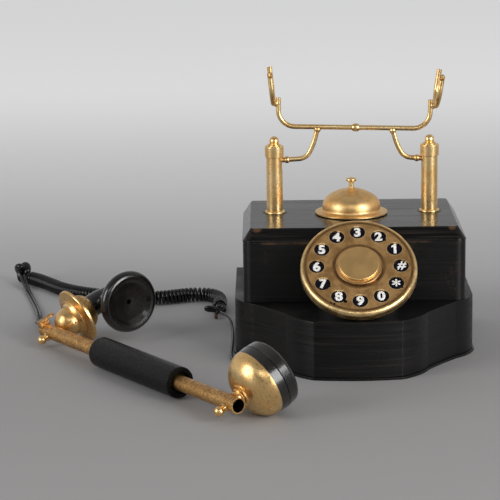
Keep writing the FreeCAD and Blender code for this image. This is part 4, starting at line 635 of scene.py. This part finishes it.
def dial_gold():
    """The finger wheel and cap: speckled gold, bright on the cap, with painted highlights on the rim and hole
    edges and uneven painted shade in the grooves.
    """
    finish = Finish("dial_gold", 1.0, 0.4)
    cloud = finish.noise(130.0, 6.0, 0.65)
    grain = finish.noise(1500.0, 5.0, 0.75)
    reach = finish.distance(DIAL_PLACE)
    base = finish.mix(finish.step(cloud, 0.34, 0.66), rgb(0.56, 0.305, 0.110), rgb(0.80, 0.475, 0.195))
    base = finish.mix(finish.step(grain, 0.56, 0.72, 0.0, 0.6), base, GOLD)
    base = finish.mix(finish.step(grain, 0.46, 0.30, 0.0, 0.85), base, GOLD_DARK)
    base = finish.mix(finish.step(reach, *CAP_EDGE, 0.0, 0.75), base, GOLD)
    # Painted shade in the grooves round the cap and inside the rim, made uneven by the cloud
    groove = finish.most([finish.band(reach, CAP_GROOVE), finish.band(reach, RIM_GROOVE)])
    groove_shade = finish.times(groove, finish.step(cloud, 0.34, 0.60, 0.35, 0.9))
    base = finish.mix(groove_shade, base, GOLD_DARK)
    # Painted highlight along the finger wheel's outer rim
    rim_highlight = finish.times(finish.step(reach, *RIM_EDGE), finish.step(cloud, 0.32, 0.56, 0.45, 1.0))
    base = finish.mix(rim_highlight, base, GOLD_PALE)
    # Painted highlights round the edges of the finger holes
    rings = []
    for index in range(len(DIGITS)):
        away = finish.distance(dial_frame @ hole_place(index))
        rings.append(finish.step(away, HOLE_RADIUS + 0.0007, HOLE_RADIUS + 0.0001))
    edge = finish.times(finish.most(rings), finish.step(cloud, 0.30, 0.55, 0.25, 0.75))
    base = finish.mix(edge, base, GOLD_PALE)
    for x, y, size in SMUDGES:
        spot = dial_frame @ Vector((x, y, 0.0))
        smudge = finish.ragged(finish.distance(spot), cloud, 0.0014)
        base = finish.mix(finish.step(smudge, size + 0.0010, size + 0.0004), base, GOLD_BLACK)
    finish.colour(base)
    finish.roughness(finish.step(cloud, 0.3, 0.7, 0.30, 0.46))
    finish.bump(finish.plus(finish.times(cloud, 0.5), finish.times(grain, 0.5)), 0.00010)
    return finish.material


def black_paint(name, rough, stretch):
    """Brushed satin black paint with fine streaks and a brown undercoat where it is rubbed."""
    finish = Finish(name, 0.0, rough)
    finish.specular(0.32)
    finish.shader.inputs["Anisotropic"].default_value = 0.5
    finish.shader.inputs["Anisotropic Rotation"].default_value = 0.25
    around = finish.node("ShaderNodeTangent", direction_type="RADIAL", axis="Z")
    finish.feed(finish.shader.inputs["Tangent"], around.outputs["Tangent"])
    streak = finish.noise(28.0, 5.0, 0.65, stretch=stretch)
    cloud = finish.noise(45.0, 5.0, 0.6)
    fleck = finish.noise(1100.0, 3.0, 0.7)
    base = finish.mix(finish.step(streak, 0.50, 0.78, 0.0, 0.75), PAINT, PAINT_BROWN)
    height = finish.axis("Z")
    edge = finish.step(finish.away(height, BODY_EDGE_HEIGHT), 0.0022, 0.0004)
    edge = finish.times(edge, finish.step(cloud, 0.46, 0.62))
    rub = finish.times(finish.step(cloud, 0.60, 0.74), finish.step(fleck, 0.45, 0.65, 0.0, 0.6))
    finish.colour(finish.mix(finish.most([finish.times(edge, 0.8), rub]), base, PAINT_WORN))
    finish.roughness(finish.step(streak, 0.30, 0.72, rough - 0.08, rough + 0.14))
    relief = finish.plus(finish.times(streak, 0.7), finish.times(fleck, 0.3))
    finish.bump(relief, 0.00014, rounding=EDGE_ROUNDING)
    return finish.material


def lid_paint():
    """The lid's glossier black, darker and duller round the post feet, brown at the front corners."""
    finish = Finish("lid_paint", 0.0, 0.2)
    finish.specular(0.34)
    streak = finish.noise(26.0, 5.0, 0.65, stretch=(0.5, 22.0, 22.0))
    cloud = finish.noise(60.0, 5.0, 0.6)
    base = finish.mix(finish.step(streak, 0.45, 0.75, 0.0, 0.9), PAINT, PAINT_BROWN)
    corners = []
    for side in (-1, 1):
        spot = finish.distance((side * CORNER_X, CORNER_Y, CORNER_Z))
        corners.append(finish.step(finish.ragged(spot, cloud, 0.006), 0.0070, 0.0046))
    base = finish.mix(finish.times(finish.most(corners), 0.8), base, PAINT_WORN)
    # Darker and duller in a ragged ring round each post's foot
    feet = []
    for name in ("left_post", "right_post", "gong_post"):
        low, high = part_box(name)
        foot = finish.distance(((low.x + high.x) / 2, (low.y + high.y) / 2, low.z))
        feet.append(finish.step(finish.ragged(foot, cloud, 0.004), 0.0135, 0.0085))
    feet_darkening = finish.most(feet)
    finish.colour(finish.mix(feet_darkening, base, rgb(0.0012, 0.0010, 0.0010)))
    gloss = finish.step(streak, 0.3, 0.7, 0.16, 0.34)
    finish.roughness(finish.most([gloss, finish.times(feet_darkening, 0.5)]))
    finish.bump(streak, 0.00006, rounding=EDGE_ROUNDING)
    return finish.material


def moulding(name, rough, sheen):
    """Black moulded plastic with a brown cast and fine handling marks."""
    finish = Finish(name, 0.0, rough)
    cloud = finish.noise(70.0, 5.0, 0.6)
    fleck = finish.noise(1400.0, 3.0, 0.7)
    black = rgb(0.0045, 0.0040, 0.0038)
    brown = rgb(0.013, 0.0085, 0.0062)
    base = finish.mix(finish.step(cloud, 0.36, 0.76), black, brown)
    finish.colour(finish.mix(finish.step(fleck, 0.64, 0.78, 0.0, 0.35), base, PAINT_WORN))
    finish.roughness(finish.step(cloud, 0.3, 0.7, rough - 0.03, rough + 0.05))
    finish.shader.inputs["Coat Weight"].default_value = sheen
    finish.shader.inputs["Coat Roughness"].default_value = 0.12
    finish.bump(finish.plus(finish.times(fleck, 0.5), cloud), 0.00008)
    return finish.material


def grip_paint():
    """The grip sleeve: grainy black, rubbed brown at the edge of each end."""
    finish = Finish("grip_paint", 0.0, 0.42)
    grain = finish.noise(800.0, 5.0, 0.75)
    cloud = finish.noise(80.0, 5.0, 0.6)
    base = finish.mix(finish.step(grain, 0.50, 0.72, 0.0, 0.8), PAINT, PAINT_BROWN)
    bands = []
    for reach in GRIP_ENDS:
        middle = handset_frame @ Vector((reach, 0.0, 0.0))
        ahead, out = finish.from_axis(middle, handset_axis)
        end_face = finish.step(finish.away(ahead), 0.0014, 0.0008)
        bands.append(finish.times(end_face, finish.step(finish.ragged(out, cloud, 0.002), 0.0080, 0.0068)))
    finish.colour(finish.mix(finish.times(finish.most(bands), 0.6), base, PAINT_WORN))
    finish.specular(0.16)
    finish.roughness(finish.step(grain, 0.3, 0.7, 0.22, 0.40))
    finish.bump(grain, 0.00045)
    return finish.material


def cord_gloss():
    """Glossy black cord sheath with a faint drawn grain."""
    finish = Finish("cord_gloss", 0.0, 0.18)
    cloud = finish.noise(240.0, 4.0, 0.6)
    finish.colour(finish.mix(cloud, rgb(0.0026, 0.0026, 0.0028), rgb(0.0060, 0.0056, 0.0056)))
    finish.roughness(finish.step(cloud, 0.3, 0.7, 0.12, 0.24))
    finish.bump(cloud, 0.00005)
    return finish.material


def worn_tip(tip):
    """The tie's tail: glossy black sheath, brown and dusty at its cut end."""
    finish = Finish("worn_tip", 0.0, 0.3)
    cloud = finish.noise(800.0, 4.0, 0.6)
    brown = finish.mix(cloud, rgb(0.075, 0.030, 0.018), rgb(0.17, 0.075, 0.045))
    share = finish.step(finish.ragged(finish.distance(tip), cloud, 0.0010), 0.0040, 0.0028)
    finish.colour(finish.mix(share, rgb(0.0070, 0.0068, 0.0068), brown))
    finish.roughness(finish.step(share, 0.0, 1.0, 0.22, 0.55))
    finish.bump(cloud, 0.0001)
    return finish.material


def plate_ink():
    """The number plate behind the finger holes: deep blue-black lacquer."""
    finish = Finish("plate_ink", 0.0, 0.5)
    cloud = finish.noise(300.0, 4.0, 0.6)
    finish.specular(0.12)
    finish.colour(finish.mix(cloud, rgb(0.0022, 0.0022, 0.0060), rgb(0.0050, 0.0050, 0.0120)))
    finish.roughness(finish.step(cloud, 0.3, 0.7, 0.42, 0.58))
    finish.bump(cloud, 0.00005)
    return finish.material


def digit_white():
    """White printed digits, a little uneven."""
    finish = Finish("digit_white", 0.0, 0.5)
    cloud = finish.noise(1200.0, 3.0, 0.6)
    finish.colour(finish.mix(finish.step(cloud, 0.30, 0.50), rgb(0.70, 0.69, 0.66), rgb(0.93, 0.92, 0.90)))
    finish.bump(cloud, 0.00004)
    return finish.material


def plain_metal(name, low, high):
    """Dull metal of the hidden works, with a drawn grain."""
    finish = Finish(name, 1.0, 0.45)
    grain = finish.noise(300.0, 4.0, 0.6, stretch=(1.0, 6.0, 1.0))
    finish.colour(finish.mix(grain, low, high))
    finish.roughness(finish.step(grain, 0.3, 0.7, 0.34, 0.56))
    finish.bump(grain, 0.00006)
    return finish.material


def insulator():
    """Brown insulating board."""
    finish = Finish("insulator_board", 0.0, 0.6)
    grain = finish.noise(500.0, 4.0, 0.6)
    finish.colour(finish.mix(grain, rgb(0.055, 0.030, 0.016), rgb(0.11, 0.060, 0.030)))
    finish.bump(grain, 0.0001)
    return finish.material


def rubber():
    """Matt black grommet rubber."""
    finish = Finish("grommet_rubber", 0.0, 0.7)
    grain = finish.noise(700.0, 4.0, 0.6)
    finish.colour(finish.mix(grain, rgb(0.008, 0.008, 0.008), rgb(0.022, 0.021, 0.020)))
    finish.bump(grain, 0.00012)
    return finish.material


def wear(material, *names):
    """Gives CAD nodes a material."""
    for name in names:
        data = nodes[name].data
        data.materials.clear()
        data.materials.append(material)


def paint_nodes():
    """A material for every CAD node."""
    gold = aged_gold("aged_gold", 0.34, 0.30)
    wear(gold, "left_post", "right_post", "post_collars", "finials", "cradle_bar", "bar_sleeve", "left_arm",
         "right_arm", "left_fork", "right_fork", "bell_button")
    wear(aged_gold("bell_gold", 0.36, 0.40, BELL_GOLD, BELL_PALE), "bell_gong", "gong_post")
    wear(aged_gold("cup_gold", 0.55, 0.30), "earpiece_shell", "cup_bolts")
    wear(aged_gold("ball_gold", 0.60, 0.30, BELL_GOLD, BELL_PALE), "transmitter_shell")
    tube_gold = aged_gold("rubbed_gold", 0.90, 0.38, TUBE_GOLD, TUBE_PALE, creases=0.8)
    wear(tube_gold, "handset_tube", "transmitter_drum", "cord_clip")
    wear(dial_gold(), "finger_wheel", "dial_centre_cap")
    wear(black_paint("brushed_paint", 0.40, (0.6, 0.6, 26.0)), "plinth_shell", "body_shell", "base_plate")
    wear(lid_paint(), "top_cover")
    wear(moulding("cap_moulding", 0.24, 0.5), "earpiece_cap", "mouth_disc", "horn")
    wear(grip_paint(), "handset_grip")
    wear(plate_ink(), "number_plate")
    steel = plain_metal("works_steel", rgb(0.25, 0.25, 0.26), rgb(0.50, 0.50, 0.50))
    wear(steel, "base_screws", "left_plunger", "right_plunger", "cradle_springs", "switch_crossbar",
         "button_spring", "clapper_bracket", "clapper_pin", "clapper", "dial_drum", "dial_bridge",
         "dial_pillars", "dial_spring", "dial_shaft", "receiver_capsule", "transmitter_capsule")
    brass = plain_metal("works_brass", rgb(0.40, 0.25, 0.09), rgb(0.70, 0.48, 0.20))
    wear(brass, "dial_bush", "dial_gear", "pulse_pinion", "pulse_contacts", "hook_contact_fixed",
         "hook_contact_moving")
    wear(insulator(), "hook_contact_block")
    wear(rubber(), "cord_grommets")


def live_springs():
    """Shows a copy of the cradle's springs and of the bell button's spring in place of each CAD node."""
    for name, body in (("cradle_springs", "cradle"), ("button_spring", "bell_button")):
        spring = shown(name + "_live", nodes[name].data.copy())
        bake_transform(spring)
        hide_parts(name)


def figure_one():
    """A bold figure one with a flag, as a thin plate."""
    mesh = bpy.data.meshes.new("one")
    work = bmesh.new()
    for height in (-DIGIT_BOLD, DIGIT_BOLD):
        ring = []
        for x, y in FIGURE_ONE:
            ring.append(work.verts.new((MILLIMETRE * x + FIGURE_ONE_SHIFT, MILLIMETRE * y, height)))
        work.faces.new(ring if height > 0.0 else list(reversed(ring)))
    work.verts.ensure_lookup_table()
    count = len(FIGURE_ONE)
    for index in range(count):
        following = (index + 1) % count
        corners = (index, following, count + following, count + index)
        work.faces.new([work.verts[corner] for corner in corners])
    work.to_mesh(mesh)
    work.free()
    return mesh


def sign_mesh(digit):
    """A digit or sign from the built-in font, made bold by its bevel."""
    text = bpy.data.curves.new("digit", "FONT")
    text.body = digit
    text.size = DIGIT_HEIGHT * {"*": STAR_SCALE, "#": HASH_SCALE}.get(digit, 1.0)
    text.shear = HASH_SLANT if digit == "#" else 0.0
    text.align_x = "CENTER"
    text.bevel_depth = DIGIT_BOLD * (SIGN_BOLD if digit in "#*" else 1.0)
    text.bevel_resolution = 0
    mesh = bpy.data.meshes.new_from_object(shown("digit", text))
    bpy.data.curves.remove(text)
    return mesh


def print_digits():
    """White digits on the number plate, upright behind the finger holes."""
    mesh = bpy.data.meshes.new("dial_digits")
    work = bmesh.new()
    for index, digit in enumerate(DIGITS):
        flat = figure_one() if digit == "1" else sign_mesh(digit)
        low = min(vertex.co.y for vertex in flat.vertices)
        high = max(vertex.co.y for vertex in flat.vertices)
        place = hole_place(index) + Vector((0.0, DIGIT_SHIFT, DIGIT_LIFT - DIGIT_DEPTH))
        middle = Matrix.Translation((0.0, -(low + high) / 2, 0.0))
        thin = Matrix.Diagonal((1.0, 1.0, DIGIT_FLATTEN, 1.0))
        flat.transform(dial_frame @ Matrix.Translation(place) @ thin @ middle)
        work.from_mesh(flat)
        bpy.data.meshes.remove(flat)
    work.to_mesh(mesh)
    work.free()
    digits = shown("dial_digits", mesh)
    mesh.materials.append(digit_white())
    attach(digits, "base")


def tie_piece(name, centre, offsets, radius, material):
    """A bent length of cord near a point, given by offsets in millimetres."""
    points = [centre + MILLIMETRE * Vector(offset) for offset in offsets]
    piece = curve(name, points, radius, smooth=8)
    piece.data.materials.append(material)
    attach(piece, "base")
    return piece


def tie_knots(gloss):
    """The tie by the base, with its loop and tail, and the knot at the curl's far end."""
    low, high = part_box("cord_base_tie")
    centre = (low + high) / 2
    tie = tie_piece("cord_tie_knot", centre, TIE_LOOP, TIE_RADIUS, gloss)
    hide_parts("cord_base_tie")
    tip = centre + MILLIMETRE * Vector(TIE_TAIL[-1])
    tie_piece("cord_tie_tail", centre, TIE_TAIL, TAIL_RADIUS, worn_tip(tip))

    low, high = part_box("cord_end_knot")
    centre = Vector((high.x - KNOT_INSET, (low.y + high.y) / 2, KNOT_HEIGHT))
    offsets = []
    for index in range(KNOT_STEPS + 1):
        turn = KNOT_OPENING + (2.0 * math.pi - 2.0 * KNOT_OPENING) * index / KNOT_STEPS
        across = math.sin(turn) + 2.0 * math.sin(2.0 * turn)
        up = math.cos(turn) - 2.0 * math.cos(2.0 * turn)
        deep = -math.sin(3.0 * turn)
        offsets.append((KNOT_ACROSS * across, KNOT_DEEP * deep, KNOT_UP * up))
    knot = tie_piece("cord_ball_knot", centre, offsets, KNOT_RADIUS, gloss)
    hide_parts("cord_end_knot")


def drive_screw():
    """The small slotted screw head between the transmitter's drum and horn."""
    mesh = bpy.data.meshes.new("drum_screw")
    work = bmesh.new()
    rings = []
    for share in SCREW_RINGS:
        ring = []
        for step in range(SCREW_SIDES):
            angle = 2.0 * math.pi * step / SCREW_SIDES
            x = share * SCREW_RADIUS * math.cos(angle)
            y = share * SCREW_RADIUS * math.sin(angle)
            height = SCREW_HEIGHT * math.sqrt(1.0 - SCREW_DOME * share * share)
            if abs(y) < SCREW_SLOT:
                height -= 0.5 * SCREW_HEIGHT
            ring.append(work.verts.new((x, y, height)))
        rings.append(ring)
    for vertex in rings[-1]:
        vertex.co.z = -SCREW_SINK
    for first, second in zip(rings, rings[1:]):
        for step in range(SCREW_SIDES):
            following = (step + 1) % SCREW_SIDES
            work.faces.new((first[following], first[step], second[step], second[following]))
    work.faces.new(rings[0])
    work.faces.new(list(reversed(rings[-1])))
    turn = SCREW_AXIS.to_track_quat("Z", "Y").to_matrix().to_4x4()
    work.transform(Matrix.Translation(SCREW_PLACE) @ turn)
    for face in work.faces:
        face.smooth = True
    work.to_mesh(mesh)
    work.free()
    screw = shown("drum_screw", mesh)
    mesh.materials.append(aged_gold("screw_gold", 0.2, 0.3))
    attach(screw, "handset")


def make_floor():
    """A wide floor, paler towards the back, where it glows for the camera and in reflections."""
    finish = Finish("floor_paper", 0.0, 0.8)
    depth = finish.axis("Y")
    grey = rgb(0.380, 0.371, 0.369)
    white = rgb(0.82, 0.82, 0.825)
    finish.colour(finish.mix(finish.step(depth, *FLOOR_FADE), grey, white))
    finish.specular(0.15)
    path = finish.node("ShaderNodeLightPath")
    rays = ("Is Camera Ray", "Is Glossy Ray", "Is Transmission Ray")
    seen = finish.most([path.outputs[ray] for ray in rays])
    finish.shader.inputs["Emission Color"].default_value = rgb(1.0, 1.0, 1.0)
    glow = finish.step(depth, *FLOOR_GLOW, 0.0, FLOOR_GLOW_STRENGTH)
    finish.feed(finish.shader.inputs["Emission Strength"], finish.times(seen, glow))
    mesh = bpy.data.meshes.new("floor")
    work = bmesh.new()
    bmesh.ops.create_grid(work, x_segments=4, y_segments=4, size=FLOOR_SIZE)
    work.to_mesh(mesh)
    work.free()
    floor = shown("floor", mesh)
    floor.location.z = -FLOOR_DROP
    mesh.materials.append(finish.material)


def lamp(name, place, width, height, power):
    """A soft box that shines on the object."""
    data = bpy.data.lights.new(name, "AREA")
    data.shape = "RECTANGLE"
    data.size = width
    data.size_y = height
    data.energy = power
    light = shown(name, data)
    light.location = place
    light.rotation_mode = "QUATERNION"
    light.rotation_quaternion = (Vector(LAMP_TARGET) - Vector(place)).to_track_quat("-Z", "Y")


def make_light():
    """Soft studio light: a room that is dark in front, two low boxes at the sides and a weak high one."""
    world = bpy.data.worlds.new("studio")
    bpy.context.scene.world = world
    world.use_nodes = True
    tree = world.node_tree
    background = tree.nodes["Background"]
    coords = tree.nodes.new("ShaderNodeTexCoord")
    split = tree.nodes.new("ShaderNodeSeparateXYZ")
    ramp = tree.nodes.new("ShaderNodeValToRGB")
    ramp.color_ramp.elements[0].position = ROOM_HEIGHTS[0]
    ramp.color_ramp.elements[0].color = rgb(0.60, 0.60, 0.605)
    ramp.color_ramp.elements[1].position = ROOM_HEIGHTS[1]
    ramp.color_ramp.elements[1].color = rgb(0.40, 0.40, 0.405)
    depth = tree.nodes.new("ShaderNodeMapRange")
    depth.interpolation_type = "SMOOTHSTEP"
    depth.inputs["From Min"].default_value = ROOM_DIRECTIONS[0]
    depth.inputs["From Max"].default_value = ROOM_DIRECTIONS[1]
    depth.inputs["To Min"].default_value = ROOM_FRONT
    depth.inputs["To Max"].default_value = 1.0
    tree.links.new(coords.outputs["Generated"], split.inputs["Vector"])
    tree.links.new(split.outputs["Z"], ramp.inputs["Fac"])
    tree.links.new(split.outputs["Y"], depth.inputs["Value"])
    tree.links.new(ramp.outputs["Color"], background.inputs["Color"])
    tree.links.new(depth.outputs["Result"], background.inputs["Strength"])
    for name, place, width, height, power in LAMPS:
        lamp(name, place, width, height, power)


make_camera()
gloss = cord_gloss()
make_cords(gloss)
tie_knots(gloss)
paint_nodes()
live_springs()
print_digits()
drive_screw()
make_floor()
make_light()
bpy.context.scene.view_settings.view_transform = "Standard"
